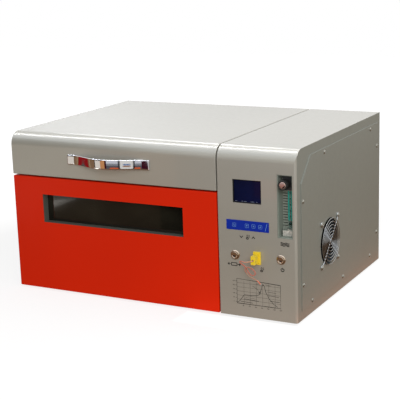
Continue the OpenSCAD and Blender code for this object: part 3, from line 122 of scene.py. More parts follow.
class Graph:
    """The node tree of a material or a world."""

    def __init__(self, owner, output="ShaderNodeOutputMaterial"):
        self.owner = owner
        owner.use_nodes = True
        self.tree = owner.node_tree
        self.tree.nodes.clear()
        self.out = self.add(output)

    def add(self, kind, inputs=None, **settings):
        node = self.tree.nodes.new(kind)
        for key, value in settings.items():
            setattr(node, key, value)
        for key, value in (inputs or {}).items():
            socket = node.inputs[key]
            if isinstance(value, bpy.types.NodeSocket):
                self.tree.links.new(value, socket)
            elif socket.type == "RGBA":
                socket.default_value = (*value, 1)
            else:
                socket.default_value = value
        return node

    def place(self, stretch=(1, 1, 1)):
        coords = self.add("ShaderNodeTexCoord")
        return self.add("ShaderNodeMapping", {
            "Vector": coords.outputs["Object"], "Scale": stretch}).outputs["Vector"]

    def noise(self, vector, scale, detail=4, rough=0.55):
        return self.add("ShaderNodeTexNoise", {
            "Vector": vector, "Scale": scale, "Detail": detail, "Roughness": rough}).outputs["Fac"]

    def span(self, value, low, high, from_low=0.3, from_high=0.7):
        return self.add("ShaderNodeMapRange", {
            "Value": value, "From Min": from_low, "From Max": from_high, "To Min": low,
            "To Max": high}).outputs["Result"]

    def math(self, operation, *values):
        return self.add("ShaderNodeMath", dict(enumerate(values)), operation=operation).outputs[0]

    def measure(self, operation, *vectors):
        return self.add("ShaderNodeVectorMath", dict(enumerate(vectors)),
                        operation=operation).outputs["Value"]

    def mix(self, factor, a, b):
        return self.add("ShaderNodeMix", {0: factor, 6: a, 7: b}, data_type="RGBA").outputs[2]

    def bump(self, height, strength, distance):
        return self.add("ShaderNodeBump", {
            "Height": height, "Strength": strength, "Distance": distance}).outputs["Normal"]

    def edge(self, radius):
        """1 on an edge of that radius in metres and 0 on a flat face."""
        bevel = self.add("ShaderNodeBevel", {"Radius": radius}, samples=4)
        flat = self.add("ShaderNodeNewGeometry")
        dot = self.measure("DOT_PRODUCT", bevel.outputs["Normal"], flat.outputs["True Normal"])
        return self.span(dot, 1, 0, 0.80, 0.985)

    def show(self, kind, inputs):
        """Send a shader to the output. Returns the material or world."""
        shader = self.add(kind, inputs)
        self.tree.links.new(shader.outputs[0], self.out.inputs["Surface"])
        return self.owner

    def principled(self, inputs):
        return self.show("ShaderNodeBsdfPrincipled", inputs)


def look(name):
    return Graph(bpy.data.materials.new(name + "_look"))


def surface(name, colour, rough, metal=0, coat=0, coat_rough=0.1, spec=0.5, vary=0.05,
            patch=9, grain=0.05, pitch=900, depth=0.00006, stretch=(1, 1, 1),
            rough_vary=0.05, edge_wear_and_highlight=0, edge_wear_and_highlight_colour=None, speckle=0, sheen=0, aniso=0):
    """Procedural finish: cloudy colour, grain in bump, uneven roughness and lighter scuffed edges,
    partly real scuffing and partly a painted highlight along the edges.

    Colours are sRGB from 0 to 255, patch and pitch are the scales of the clouds and the grain.
    """
    colour = lin(*colour)
    g = look(name)
    plain = g.place()
    grained = g.place(stretch)
    tone = g.mix(g.span(g.noise(plain, patch, 5), 0, 1), scaled(colour, 1 - vary),
                 scaled(colour, 1 + vary))
    if speckle:
        cells = g.add("ShaderNodeTexVoronoi", {"Vector": plain, "Scale": pitch * 2.2})
        glint = g.span(cells.outputs["Distance"], 1, 0, 0.05, 0.45)
        tone = g.mix(g.math("MULTIPLY", glint, speckle), tone, scaled(colour, 1.7))
    # Lighter scuffed edges: partly real scuffing of the finish, partly a painted highlight where
    # the edges catch the light
    if edge_wear_and_highlight:
        rubbed_and_lit_edge = g.math("MULTIPLY", g.edge(0.0012), g.span(g.noise(plain, 70, 6), 0.2, 1))
        tone = g.mix(g.math("MULTIPLY", rubbed_and_lit_edge, edge_wear_and_highlight), tone,
                     lin(*edge_wear_and_highlight_colour) if edge_wear_and_highlight_colour else scaled(colour, 1.6))
    MATS[name] = g.principled({
        "Base Color": tone, "Metallic": metal, "Specular IOR Level": spec,
        "Roughness": g.span(g.noise(grained, pitch / 14, 4), rough - rough_vary,
                            rough + rough_vary),
        "Normal": g.bump(g.noise(grained, pitch, 3, 0.6), grain, depth),
        "Coat Weight": coat, "Coat Roughness": coat_rough, "Sheen Weight": sheen,
        "Sheen Roughness": 0.4, "Anisotropic": aniso})


def make_window_glass():
    """Tinted oven glass: near black, with a faint haze and fine wipe marks."""
    g = look("window_glass")
    spot = g.place((1, 1, 1.6))
    haze = g.span(g.noise(spot, 11, 3), 0, 1, 0.42, 0.72)
    MATS["glass_dark"] = g.principled({
        "Base Color": g.mix(haze, lin(26, 24, 18), lin(38, 36, 28)),
        "Roughness": g.span(g.noise(g.place((30, 1, 220)), 6, 3), 0.05, 0.12),
        "Specular IOR Level": 0.35, "Coat Weight": 0.25, "Coat Roughness": 0.03,
        "Normal": g.bump(g.noise(spot, 60, 2), 0.02, 0.0001)})


def make_clear_glass():
    """Clear tube glass whose body shows as a tint over what lies behind it."""
    g = look("clear_glass")
    spot = g.place()
    tint = lin(60, 120, 110)
    MATS["clear_glass"] = g.principled({
        "Base Color": g.mix(g.span(g.noise(spot, 120, 3), 0, 1), scaled(tint, 0.9),
                            scaled(tint, 1.1)),
        "Roughness": g.span(g.noise(spot, 300), 0.03, 0.08), "IOR": 1.49, "Alpha": 0.10,
        "Coat Weight": 0.1, "Coat Roughness": 0.02,
        "Normal": g.bump(g.noise(spot, 500), 0.03, 0.0001)})


def make_screen():
    """Unlit liquid crystal panel: deep navy with faint columns under clear glass."""
    g = look("screen")
    spot = g.place()
    wave = g.add("ShaderNodeTexWave", {"Vector": spot, "Scale": 170, "Distortion": 0},
                 wave_type="BANDS", bands_direction="X")
    cloud = g.noise(spot, 30, 2)
    tone = g.mix(g.span(cloud, 0, 1), lin(0, 8, 40), lin(0, 13, 56))
    tone = g.mix(g.span(wave.outputs["Fac"], 0, 0.10, 0, 1), tone, lin(0, 20, 76))
    MATS["screen"] = g.principled({
        "Base Color": tone, "Roughness": g.span(cloud, 0.16, 0.24), "Coat Weight": 0.1,
        "Coat Roughness": 0.04, "Specular IOR Level": 0.2,
        "Normal": g.bump(g.noise(spot, 900), 0.02, 0.00005)})


def make_braid():
    """Braided glass-fibre sleeve, tan by the plug and red towards the loops."""
    strands, crossings = 3, 900
    stops = ((0, (214, 160, 118)), (0.10, (206, 128, 92)), (0.2, (205, 62, 38)),
             (0.55, (190, 58, 36)), (0.72, (176, 84, 60)), (0.82, (150, 112, 88)),
             (0.93, (170, 104, 76)), (0.95, (236, 84, 40)), (1, (240, 92, 44)))
    g = look("braid")
    along, around = [g.add("ShaderNodeAttribute", attribute_name=name).outputs["Fac"]
                     for name in ("along", "around")]
    ramp = g.add("ShaderNodeValToRGB", {"Fac": along})
    elements = ramp.color_ramp.elements
    while len(elements) < len(stops):
        elements.new(0.5)
    for element, (place, colour) in zip(elements, stops):
        element.position = place
        element.color = (*lin(*colour), 1)
    waves = [g.math("SINE", g.math("ADD", g.math("MULTIPLY", around, 2 * pi * strands * way),
                                   g.math("MULTIPLY", along, crossings)))
             for way in (1, -1)]
    weave = g.math("MULTIPLY", *waves)
    MATS["wire_sleeve"] = g.principled({
        "Base Color": g.mix(g.span(weave, 0, 0.35, -1, 1), ramp.outputs["Color"],
                            lin(250, 226, 200)),
        "Roughness": g.span(weave, 0.5, 0.7, -1, 1), "Sheen Weight": 0.2,
        "Normal": g.bump(weave, 0.5, 0.0002)})


# Paints and sheet metals
# The lighter edge colours given to these paints are partly scuffing and partly a painted edge
# highlight
surface("grey_paint", (172, 170, 161), 0.4, metal=0.35, coat=0.6, coat_rough=0.04, vary=0.02,
        patch=5, grain=0.06, pitch=1400, depth=0.00005, rough_vary=0.03, edge_wear_and_highlight=0.25,
        edge_wear_and_highlight_colour=(205, 203, 196), speckle=0.1)
# Cover paint: the grey paint made darker for the surfaces that face the right side, a painted
# shade on that side; its light edge colour is a painted edge highlight
surface("cover_paint", (142, 146, 139), 0.42, metal=0.35, coat=0.4, coat_rough=0.14, vary=0.02,
        patch=5, grain=0.07, pitch=1400, depth=0.00005, rough_vary=0.03, edge_wear_and_highlight=0.3,
        edge_wear_and_highlight_colour=(196, 194, 186), speckle=0.1)
surface("frame_paint", (140, 137, 130), 0.5, metal=0.2, vary=0.03, edge_wear_and_highlight=0.3, pitch=1100)
surface("red_paint", (222, 37, 0), 0.5, coat=0.02, coat_rough=0.2, spec=0.08, vary=0.03, patch=4,
        grain=0.08, pitch=1300, depth=0.00005, rough_vary=0.04, edge_wear_and_highlight=0.25, edge_wear_and_highlight_colour=(232, 96, 52))
surface("zinc_sheet", (176, 180, 182), 0.42, metal=0.85, vary=0.1, patch=60, rough_vary=0.1)
surface("window_grey", (98, 102, 95), 0.48, metal=0.15, patch=20, grain=0.06, edge_wear_and_highlight=0.4,
        edge_wear_and_highlight_colour=(140, 144, 134))
# Bare metals
surface("stainless", (190, 191, 190), 0.3, metal=1, vary=0.04, stretch=(1, 14, 14), grain=0.04,
        pitch=260, rough_vary=0.03, aniso=0.4)
surface("machined_steel", (184, 184, 182), 0.26, metal=1, vary=0.04, stretch=(1, 1, 10),
        grain=0.06, pitch=500)
surface("chrome", (226, 227, 228), 0.06, metal=1, vary=0.015, grain=0.012, pitch=220,
        rough_vary=0.025)
# Warm tint on the button steel: a painted warm reflection
surface("button_steel", (206, 188, 168), 0.14, metal=1, vary=0.08, patch=200, pitch=500)
surface("guard_wire", (198, 200, 200), 0.14, metal=1, vary=0.03, patch=60, grain=0.02)
surface("screw_steel", (168, 166, 156), 0.2, metal=0.9, vary=0.08, patch=300, grain=0.06,
        pitch=600)
surface("brushed_steel", (214, 212, 204), 0.4, metal=0.25, vary=0.4, patch=220, grain=0.1,
        pitch=300, stretch=(6, 6, 0.2))
surface("copper_face", (214, 186, 176), 0.22, metal=0.85, patch=120, grain=0.08,
        stretch=(1, 1, 20), pitch=300)
surface("fan_aluminium", (66, 72, 76), 0.5, metal=0.1, vary=0.07, patch=60, grain=0.12, pitch=400,
        edge_wear_and_highlight=0.3)
surface("brass", (196, 158, 82), 0.28, metal=1, vary=0.06, patch=60)
# Fibre, rubber and quartz
surface("rubber", (34, 34, 34), 0.75, vary=0.12, patch=80, grain=0.2)
surface("ceramic_fibre", (236, 231, 218), 0.95, patch=50, grain=0.5, pitch=420, depth=0.0005,
        stretch=(1, 1, 3), sheen=0.3)
surface("fibre_rope", (222, 216, 200), 0.92, vary=0.08, patch=120, grain=0.6, pitch=520,
        depth=0.0006, stretch=(2, 2, 1), sheen=0.3)
surface("quartz", (232, 228, 218), 0.28, vary=0.04, patch=70, coat=0.6, coat_rough=0.06,
        grain=0.04)
# Plastics
surface("motor_black", (52, 53, 55), 0.5, metal=0.2, vary=0.1, grain=0.15, pitch=500, edge_wear_and_highlight=0.3,
        edge_wear_and_highlight_colour=(120, 120, 120))
surface("black_plastic", (22, 22, 22), 0.42, vary=0.15, patch=60, grain=0.25, depth=0.0001,
        edge_wear_and_highlight=0.3, edge_wear_and_highlight_colour=(70, 70, 70))
surface("fan_black", (20, 22, 24), 0.6, vary=0.12, patch=60, spec=0.08, grain=0.2, depth=0.0001)
surface("red_plastic", (150, 26, 18), 0.3, vary=0.06, patch=60, coat=0.3)
surface("dark_red", (96, 16, 14), 0.5, vary=0.1, patch=300, grain=0.1)
surface("yellow_plastic", (244, 214, 44), 0.36, patch=80, coat=0.15, grain=0.12, pitch=700,
        depth=0.0001, edge_wear_and_highlight=0.25, edge_wear_and_highlight_colour=(244, 224, 120))
surface("display", (14, 14, 18), 0.35, vary=0.1, coat=0.3)
surface("keypad", (0, 42, 162), 0.4, vary=0.04, patch=40, coat=0.04, spec=0.2, coat_rough=0.2,
        grain=0.12, pitch=1600, depth=0.00008)
surface("circuit", (28, 104, 58), 0.42, vary=0.15, patch=160, coat=0.3, grain=0.1)
surface("meter_body", (142, 150, 140), 0.46, vary=0.06, patch=30, grain=0.1, pitch=700)
surface("teal", (0, 212, 196), 0.3, vary=0.06, patch=60, coat=0.1, coat_rough=0.05, grain=0.03)
# Printed marks
surface("screen_mark", (120, 128, 150), 0.4, vary=0.2, patch=900, grain=0.02)
surface("key_line", (118, 168, 220), 0.45, vary=0.08, patch=300)
surface("meter_mark", (58, 64, 60), 0.6, vary=0.15, patch=300, spec=0.2)
surface("ink", (22, 22, 24), 0.7, spec=0.2, vary=0.12, patch=220)
surface("faint_ink", (84, 82, 78), 0.7, spec=0.2, vary=0.08, patch=220)
make_window_glass()
make_clear_glass()
make_screen()
make_braid()

# ---- mesh helpers


def new_piece(name, bm, mats, sharp=35, node=None, body="carcase", weighted=False):
    """Object on a body, with sharp creases, in place of a node if one is named."""
    mats = mats if isinstance(mats, list) else [mats]
    mesh = bpy.data.meshes.new(name)
    bmesh.ops.recalc_face_normals(bm, faces=bm.faces)
    bm.to_mesh(mesh)
    bm.free()
    obj = link(name, mesh)
    for mat in mats:
        mesh.materials.append(MATS[mat])
    mesh.shade_smooth()
    mesh.set_sharp_from_angle(angle=radians(sharp))
    if weighted:
        mod = obj.modifiers.new("normals", "WEIGHTED_NORMAL")
        mod.keep_sharp = True
        mod.weight = 80
    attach(obj, body)
    if node:
        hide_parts(node)
    return obj


def turn(count):
    """The angles of a full turn in equal steps."""
    return [2 * pi * k / count for k in range(count)]


def square_to(axis):
    """Unit axis and two unit directions square to it."""
    axis = Vector(axis).normalized()
    side = axis.orthogonal().normalized()
    return axis, side, axis.cross(side)


def bevel(bm, edges, width, segments):
    return bmesh.ops.bevel(bm, geom=edges, offset=width * MM, segments=segments, profile=0.5,
                           affect="EDGES", clamp_overlap=True)["faces"]


def add_box(bm, low, high, width, index=0):
    """Box between two corners in millimetres, with rounded edges."""
    verts = [bm.verts.new(mm(x, y, z)) for x in (low[0], high[0]) for y in (low[1], high[1])
             for z in (low[2], high[2])]
    quads = ((0, 1, 3, 2), (4, 6, 7, 5), (0, 4, 5, 1), (2, 3, 7, 6), (0, 2, 6, 4), (1, 5, 7, 3))
    faces = [bm.faces.new([verts[i] for i in q]) for q in quads]
    for f in faces:
        f.material_index = index
    if width:
        for f in bevel(bm, list(dict.fromkeys(e for f in faces for e in f.edges)), width, 2):
            f.material_index = index


def bridge(bm, rings, closed=False, caps=True, index=0):
    """Faces between each ring of vertices, or lone vertex, and the next, and over each end."""
    made = []
    for a, b in zip(rings, rings[1:] + (rings[:1] if closed else [])):
        count = max(len(a), len(b))
        for k in range(count):
            m = (k + 1) % count
            corners = a[k % len(a)], b[k % len(b)], b[m % len(b)], a[m % len(a)]
            made.append(bm.faces.new(list(dict.fromkeys(corners))))
    if caps and not closed:
        made += [bm.faces.new(rings[0]), bm.faces.new(rings[-1][::-1])]
    for face in made:
        face.material_index = index


def add_lathe(bm, profile, centre, axis, count, closed=False):
    """Turned piece: profile is (radius, height) in millimetres along the axis from centre."""
    axis, side, other = square_to(axis)
    rings = [[bm.verts.new((Vector(centre) + axis * height
                            + (side * cos(t) + other * sin(t)) * radius) * MM)
              for t in (turn(count) if radius > 1e-6 else (0,))]
             for radius, height in profile]
    bridge(bm, rings, closed, caps=False)


def smooth_path(points, steps):
    """Points in a smooth curve through the given ones."""
    p = [Vector(q) for q in points]
    out = []
    for i in range(len(p) - 1):
        a, b, c, d = p[max(i - 1, 0)], p[i], p[i + 1], p[min(i + 2, len(p) - 1)]
        for k in range(steps):
            t = k / steps
            out.append(0.5 * (2 * b + (c - a) * t + (2 * a - 5 * b + 4 * c - d) * t * t
                              + (3 * b - a - 3 * c + d) * t ** 3))
    return out + [p[-1]]


def add_tube(bm, path, radius, sides, closed=False):
    """Tube along a path in millimetres. Returns the rings of vertices."""
    n = len(path)
    up = Vector(UPWARD)
    rings = []
    for i, point in enumerate(path):
        ahead = path[(i + 1) % n] if closed or i + 1 < n else point
        behind = path[i - 1] if closed or i else point
        h = (ahead - behind).normalized()
        side = up - h * up.dot(h)
        if side.length < 1e-4:
            side = h.orthogonal()
        up = side.normalized()
        w = h.cross(up)
        rings.append([bm.verts.new((point + radius * (cos(t) * up + sin(t) * w)) * MM)
                      for t in turn(sides)])
    bridge(bm, rings, closed)
    return rings


def circle(centre, radius, count):
    """Points round a circle that faces the right side."""
    _, side, other = square_to(RIGHTWARD)
    return [Vector(centre) + radius * (side * cos(t) + other * sin(t)) for t in turn(count)]


def round_edges(bm, pick, width, segments):
    """Bevel the creases that pick chooses."""
    edges = [e for e in bm.edges if len(e.link_faces) == 2
             and e.calc_face_angle(0) > radians(28) and pick(e)]
    if edges:
        bevel(bm, edges, width, segments)


def refine(node, name, mats, width, body="carcase", skin=None, skin_width=1):
    """A node rebuilt with rounded edges: wide ones where skin picks them, fine ones elsewhere."""
    bm = bmesh.new()
    bm.from_mesh(NODES[node].data)
    bmesh.ops.remove_doubles(bm, verts=bm.verts, dist=2e-6)
    bmesh.ops.dissolve_limit(bm, angle_limit=radians(0.5), verts=bm.verts, edges=bm.edges,
                             use_dissolve_boundaries=False)
    if skin:
        round_edges(bm, skin, skin_width, 3)
    round_edges(bm, lambda e: e.calc_length() > 0.3 * MM, width, 2)
    return new_piece(name, bm, mats, node=node, body=body, weighted=True)


# ---- sensor wire

# The same points as the solid wire's, from the middle of the plug's front face
PLUG_FACE = Vector((228, -242.6, 118.5))
PLUG_HOLE = 4
WIRE_D = 2
WIRE_ROUTE = [
    (0, 0, 0), (-1.5, -3, -0.3), (-5, -5, -1), (-10, -5.5, -2), (-16, -4, -2.5), (-22, -1, -2.5),
    (-26.5, 3, -4.5), (-27, 6, -8), (-23.5, 8, -11.5), (-19, 8.5, -15), (-15.5, 8.5, -20),
    (-11.5, 8, -25.5), (-7, 7.5, -29), (-2, 7, -29.5), (1.5, 6.5, -26.5), (1.5, 6, -22),
    (-2, 5.5, -18), (-7, 5, -15), (-12.5, 4.5, -14), (-17, 4.5, -17), (-17, 5, -22),
    (-13, 5.2, -27.5), (-8, 5, -31.5), (-2.5, 5, -33.5), (3, 5.5, -36), (8, 6.5, -40),
    (12, 7.5, -45),
]


def make_wire():
    sides = 14
    points = [PLUG_FACE + Vector((0, PLUG_HOLE, 0))]
    points += [PLUG_FACE + Vector(p) + Vector((0, -0.5, 0)) for p in WIRE_ROUTE]
    path = smooth_path(points, 5)
    bm = bmesh.new()
    rings = add_tube(bm, path, WIRE_D / 2, sides)
    bm.verts.index_update()
    runs = [0]
    for a, b in zip(path, path[1:]):
        runs.append(runs[-1] + (b - a).length)
    values = {vert.index: (run / runs[-1], k / sides)
              for run, ring in zip(runs, rings) for k, vert in enumerate(ring)}
    wire = new_piece("sensor_wire_sleeve", bm, "wire_sleeve", node="sensor_wire",
                     body="sensor_lead")
    for number, label in enumerate(("along", "around")):
        attribute = wire.data.attributes.new(label, "FLOAT", "POINT")
        for index, value in values.items():
            attribute.data[index].value = value[number]
    bead = bmesh.new()
    add_lathe(bead, [(0, 1.5), (0.75, 1.3), (1.3, 0.75), (1.5, 0), (1.3, -0.75), (0.75, -1.3),
                     (0, -1.5)], path[-1], path[-1] - path[-2], 16)
    tip = new_piece("sensor_wire_bead", bead, "machined_steel", body="sensor_lead", weighted=True)


make_wire()

# ---- painted sheet work


def near(a, b):
    return abs(a - b) < TOLERANCE


def on_hood_skin(edge):
    """Whether an edge lies on the outer surface of the rounded hood and cabinet."""
    cy, cz = FRONT + CORNER_R, TOP - CORNER_R
    for v in edge.verts:
        y, z = v.co.y / MM, v.co.z / MM
        flat = near(z, TOP) or near(y, REAR) or near(y, FRONT) and z < cz + 0.01
        round_off = abs(hypot(y - cy, z - cz) - CORNER_R) < 0.03
        if not (flat or round_off and y < cy + 0.01 and z > cz - 0.01):
            return False
    return True


def along_plane(edge, axis, value):
    return all(near(v.co[axis] / MM, value) for v in edge.verts)


def hood_edge(edge):
    return on_hood_skin(edge) and (
        along_plane(edge, 0, LEFT) or along_plane(edge, 0, HOOD_RIGHT)
        or along_plane(edge, 2, LID_BASE) and along_plane(edge, 1, FRONT))


def cabinet_edge(edge):
    return on_hood_skin(edge) and along_plane(edge, 0, CABINET_LEFT)


def drawer_edge(edge):
    planes = [(0, LEFT), (0, HOOD_RIGHT), (1, FRONT), (2, BASE), (2, DECK_TOP)]
    return sum(along_plane(edge, axis, value) for axis, value in planes) >= 2


refine("lid_shell", "hood_skin", "grey_paint", 0.3, "hood", hood_edge, 1.4)
cabinet = refine("cabinet_shell", "cabinet_skin", ["grey_paint", "cover_paint"], 0.3,
                 skin=cabinet_edge)
# Faces turned to the right take the darker cover paint: painted shade on the cabinet's side
for face in cabinet.data.polygons:
    face.material_index = int(face.normal.x > 0.95)
refine("drawer_front", "drawer_skin", "red_paint", 0.35, "drawer", drawer_edge, 2)
for row in (
        ("side_cover", "side_cover_plate", "cover_paint", 0.65),
        ("left_side_panel", "left_panel_skin", "grey_paint", 0.4),
        ("rear_panel", "rear_panel_skin", "grey_paint", 0.3),
        ("rubber_feet", "rubber_feet_turned", "rubber", 0.8),
        ("window_frame", "window_reveal", "window_grey", 0.3, "drawer"),
        ("window_glass", "window_pane", "glass_dark", 0.4, "drawer"),
        ("hinge_body_leaves", "hinge_lower_leaves", "machined_steel", 0.3),
        ("hinge_lid_leaves", "hinge_upper_leaves", "machined_steel", 0.3, "hood"),
        ("hinge_pins", "hinge_pin_rods", "chrome", 0.4),
        ("exhaust_spigot", "exhaust_collar", "stainless", 0.3),
        ("nitrogen_inlet", "nitrogen_fitting", "machined_steel", 0.4),
        ("mains_inlet", "mains_inlet_body", "black_plastic", 0.5),
        ("mains_switch", "mains_rocker_cap", "red_plastic", 0.5, "rocker")):
    refine(*row)

# ---- bow handle


def make_handle():
    """Polished bow with flat feet, softly rounded edges and a barely crowned face."""
    left, right, low, high = -170, 12, 264, 283
    out, thick, foot, taper = 26, 4.5, 14, 0.085
    r, crown, end_r = 1.3, 0.18, 1.2
    steps, sides, rows = 180, 7, 6
    half = (high - low) / 2
    flat = half - r

    def bow(x):
        s = (x - left - foot) / (right - left - 2 * foot)
        return 0 if s <= 0 or s >= 1 else (out - thick) * sin(pi * s) ** 1.5

    # Outline as (depth from the back, height), round edges joined by flat back and crowned face
    outline = []
    for cy, cz, start in ((r, flat, 90), (r, -flat, 180), (thick - r, -flat, 270),
                          (thick - r, flat, 0)):
        for k in range(sides):
            t = radians(start + 90 * k / (sides - 1))
            outline.append((cy + r * cos(t), cz + r * sin(t)))
        if start == 270:
            outline += [(thick, flat * (2 * k / rows - 1)) for k in range(1, rows)]
    outline = [(y - crown * min(1, (z / flat) ** 2) if y > thick / 2 else y, z)
               for y, z in outline]
    bm = bmesh.new()
    rings = []
    for i in range(steps + 1):
        x = left + (right - left) * i / steps
        end = min(x - left, right - x, end_r)
        round_off = 1 - sqrt(max(0, 1 - (1 - end / end_r) ** 2))
        thin = end_r * round_off + max(0, x - right + foot) * taper
        rings.append([bm.verts.new(mm(
            x, min(FRONT - bow(x) - oy + thin * (oy / thick), FRONT - 0.02), low + half + oz))
            for oy, oz in outline])
    bridge(bm, rings)
    new_piece("bow_handle", bm, "chrome", sharp=60, node="lid_handle", body="hood")


make_handle()

# ---- screws

SCREW_R, SCREW_H = 4, 2.45
SLOT_HALF_WIDTH, SLOT_REACH, SLOT_DEPTH = 0.16, 0.56, 0.42
FAN_Y, FAN_Z, FAN_HALF = -68.5, 118.3, 41.25
FAN_CORNERS = [(FAN_Y + a * FAN_HALF, FAN_Z + b * FAN_HALF) for a in (-1, 1) for b in (-1, 1)]


def add_screw(bm, centre, axis, radius, height, lean):
    """Domed head with a cross recess, resting on its face at the centre."""
    axis, side, _ = square_to(axis)
    side = side * cos(lean) + axis.cross(side) * sin(lean)
    other = axis.cross(side)
    centre = Vector(centre)
    count, ring_total = 64, 15
    sphere_r = (radius * radius + height * height) / (2 * height)
    reach_max = SLOT_REACH * radius
    rings = []
    for j in range(ring_total + 1):
        rho = radius * (j / ring_total)
        ring = []
        for t in turn(count) if j else (0,):
            u, v = rho * cos(t), rho * sin(t)
            z = height - sphere_r + sqrt(max(0, sphere_r ** 2 - rho ** 2))
            reach = max(abs(u), abs(v))
            if min(abs(u), abs(v)) < SLOT_HALF_WIDTH * radius and reach < reach_max:
                z -= SLOT_DEPTH * height * (1 - 0.5 * reach / reach_max)
            if j == ring_total:
                z = max(z, 0.12 * height)
            ring.append(bm.verts.new((centre + side * u + other * v + axis * z) * MM))
        rings.append(ring)
    rings.append([bm.verts.new((centre + (side * cos(t) + other * sin(t)) * radius) * MM)
                  for t in turn(count)])
    bridge(bm, rings, caps=False)
    bm.faces.new(rings[-1])


def make_screws():
    # Edges of the side cover, and the screws' distances from them
    y_low, y_high, z_low, z_high = -203, 207.5, 21, 300.5
    edge, end = 7, 48
    y0, y1, z0, z1 = y_low + edge, y_high - edge, z_low + edge, z_high - edge
    cover = [(y_low + 110.5, z1), (y_high - end, z1), (y1, z_high - end), (y1, z_low + end),
             (y_high - end, z0), ((y_low + y_high) / 2, z0), (y_low + end, z0),
             (y0, z_low + end), (y0, z_high - 77.5)]
    rear = [(x, z) for x in (LEFT + 14, -76.25, CABINET_LEFT - 14)
            for z in (BASE + 12, DECK_TOP - 8)]
    rear += [(RIGHT - 12, z) for z in (BASE + 12, (BASE + TOP) / 2, TOP - 12)]
    heads = [((COVER_FACE, y, z), RIGHTWARD, 0.7 * i) for i, (y, z) in enumerate(cover)]
    heads += [((COVER_FACE + 2, y, z), RIGHTWARD, 0.9 * i + 0.3)
              for i, (y, z) in enumerate(FAN_CORNERS)]
    heads += [((x, REAR, z), REARWARD, 0.5 * i) for i, (x, z) in enumerate(rear)]
    bm = bmesh.new()
    for centre, axis, lean in heads:
        add_screw(bm, centre, axis, SCREW_R, SCREW_H, lean)
    new_piece("cross_head_screws", bm, "screw_steel", 40, "panel_screws")


make_screws()

# ---- cooling fan


def make_guard():
    """Chrome rings on four bent wires that end in eyes under the fan screws."""
    ring_x, leg_x, outer = 310.1, 308.6, 44
    bm = bmesh.new()
    for i in range(1, 8):
        add_tube(bm, circle((ring_x, FAN_Y, FAN_Z), outer * i / 7, 72), 0.66, 10, closed=True)
    start = Vector((leg_x, FAN_Y, FAN_Z))
    for y, z in FAN_CORNERS:
        out = Vector((0, y - FAN_Y, z - FAN_Z))
        reach = out.length
        out.normalize()
        path = [start, start + out * 20, start + out * outer,
                start + out * 49 + Vector((-0.3, 0, 0)),
                start + out * (reach - 4.6) + Vector((-0.8, 0, 0))]
        add_tube(bm, smooth_path(path, 6), 0.98, 10)
        add_tube(bm, circle((COVER_FACE + 1, y, z), 4.1, 32), 0.98, 10, closed=True)
    new_piece("fan_guard_wires", bm, "guard_wire", 60, "fan_guard")


def make_rotor():
    """Hub with a turned rim and seven twisted, cambered blades."""
    back, front, mid = 284, 302, 293
    root, tip, spans, chords = 17.2, 42.2, 12, 10
    bm = bmesh.new()
    add_lathe(bm, [(0, front), (12.5, front), (13.2, front - 0.4), (14, front - 0.4),
                   (14.6, front), (16.6, front), (17.6, front - 0.5), (18, front - 1.4),
                   (18, back), (16.5, back), (16.5, front - 2.2), (2, front - 2.2),
                   (2, 281.5), (0, 281.5)], (0, FAN_Y, FAN_Z), RIGHTWARD, 64)
    for lean in turn(7):
        rings = []
        for i in range(spans, -1, -1):
            r = root + (tip - root) * i / spans
            twist = radians(52 - 20 * i / spans)
            ring = []
            # Round the blade: along its lower side and back along its upper one
            for k in range(2 * chords + 2):
                side, j = (-1, k) if k <= chords else (1, 2 * chords + 1 - k)
                c = (j / chords - 0.5) * (26 + 5 * i / spans)
                full = 1 - (2 * j / chords - 1) ** 2
                lift = 1.7 * full + side * 0.75 * sqrt(max(0.02, full))
                x = min(max(mid + c * cos(twist) - lift * sin(twist), back + 0.2), front - 0.4)
                t = lean + (c * sin(twist) + lift * cos(twist)) / r
                ring.append(bm.verts.new(mm(x, FAN_Y + r * cos(t), FAN_Z + r * sin(t))))
            rings.append(ring)
        bridge(bm, rings, caps=False)
        first, last = rings[0], rings[-1]
        for j in range(chords):
            bm.faces.new((first[j], first[j + 1], first[-2 - j], first[-1 - j]))
            bm.faces.new((last[j + 1], last[j], last[-1 - j], last[-2 - j]))
    new_piece("fan_blades", bm, "fan_black", 40, "cooling_fan_rotor",
              "fan_rotor")


make_guard()
make_rotor()
refine("cooling_fan_frame", "fan_frame_casting", "fan_aluminium", 0.5)

# ---- display and keypad

PANEL_BACK = FRONT + 1.5
KEY_FACE = FRONT - 0.8
PRINT_THICK = 0.06


def make_display():
    """Screen sunk in a black bezel behind the panel, with its board at the back."""
    bm = bmesh.new()
    x0, x1, z0, z1 = 181.5, 237.5, 217.5, 260.5
    e, rim = 5, 1.4
    x2, x3, z2, z3 = x0 + rim, x1 - rim, z0 + rim, z1 - rim
    marks = ((0.06, 0.12), (0.28, 0.33), (0.36, 0.46), (0.60, 0.72), (0.80, 0.84))
    # Left, right, front and back in x and z, depths behind the panel, rounding and material
    for xa, za, xb, zb, near_y, far_y, width, index in (
            (x0 - e, z0 - e, x2, z1 + e, 0, 4.6, 0.3, 0),
            (x3, z0 - e, x1 + e, z1 + e, 0, 4.6, 0.3, 0),
            (x2, z0 - e, x3, z2, 0, 4.6, 0.3, 0),
            (x2, z3, x3, z1 + e, 0, 4.6, 0.3, 0),
            (x2 - 0.2, z2 - 0.2, x3 + 0.2, z3 + 0.2, 2.4, 4.8, 0.2, 1),
            (x0 - e - 4, z0 - e - 3, x1 + e + 4, z1 + e + 3, 4.95, 6.6, 0.3, 2),
            *((x0 + 56 * u, z0 + 2.2, x0 + 56 * v, z0 + 3, 2.3, 2.5, 0, 3)
              for u, v in marks)):
        add_box(bm, (xa, PANEL_BACK + near_y, za), (xb, PANEL_BACK + far_y, zb), width, index)
    new_piece("display_panel", bm, ["display", "screen", "circuit", "screen_mark"],
              node="display_module", weighted=True)


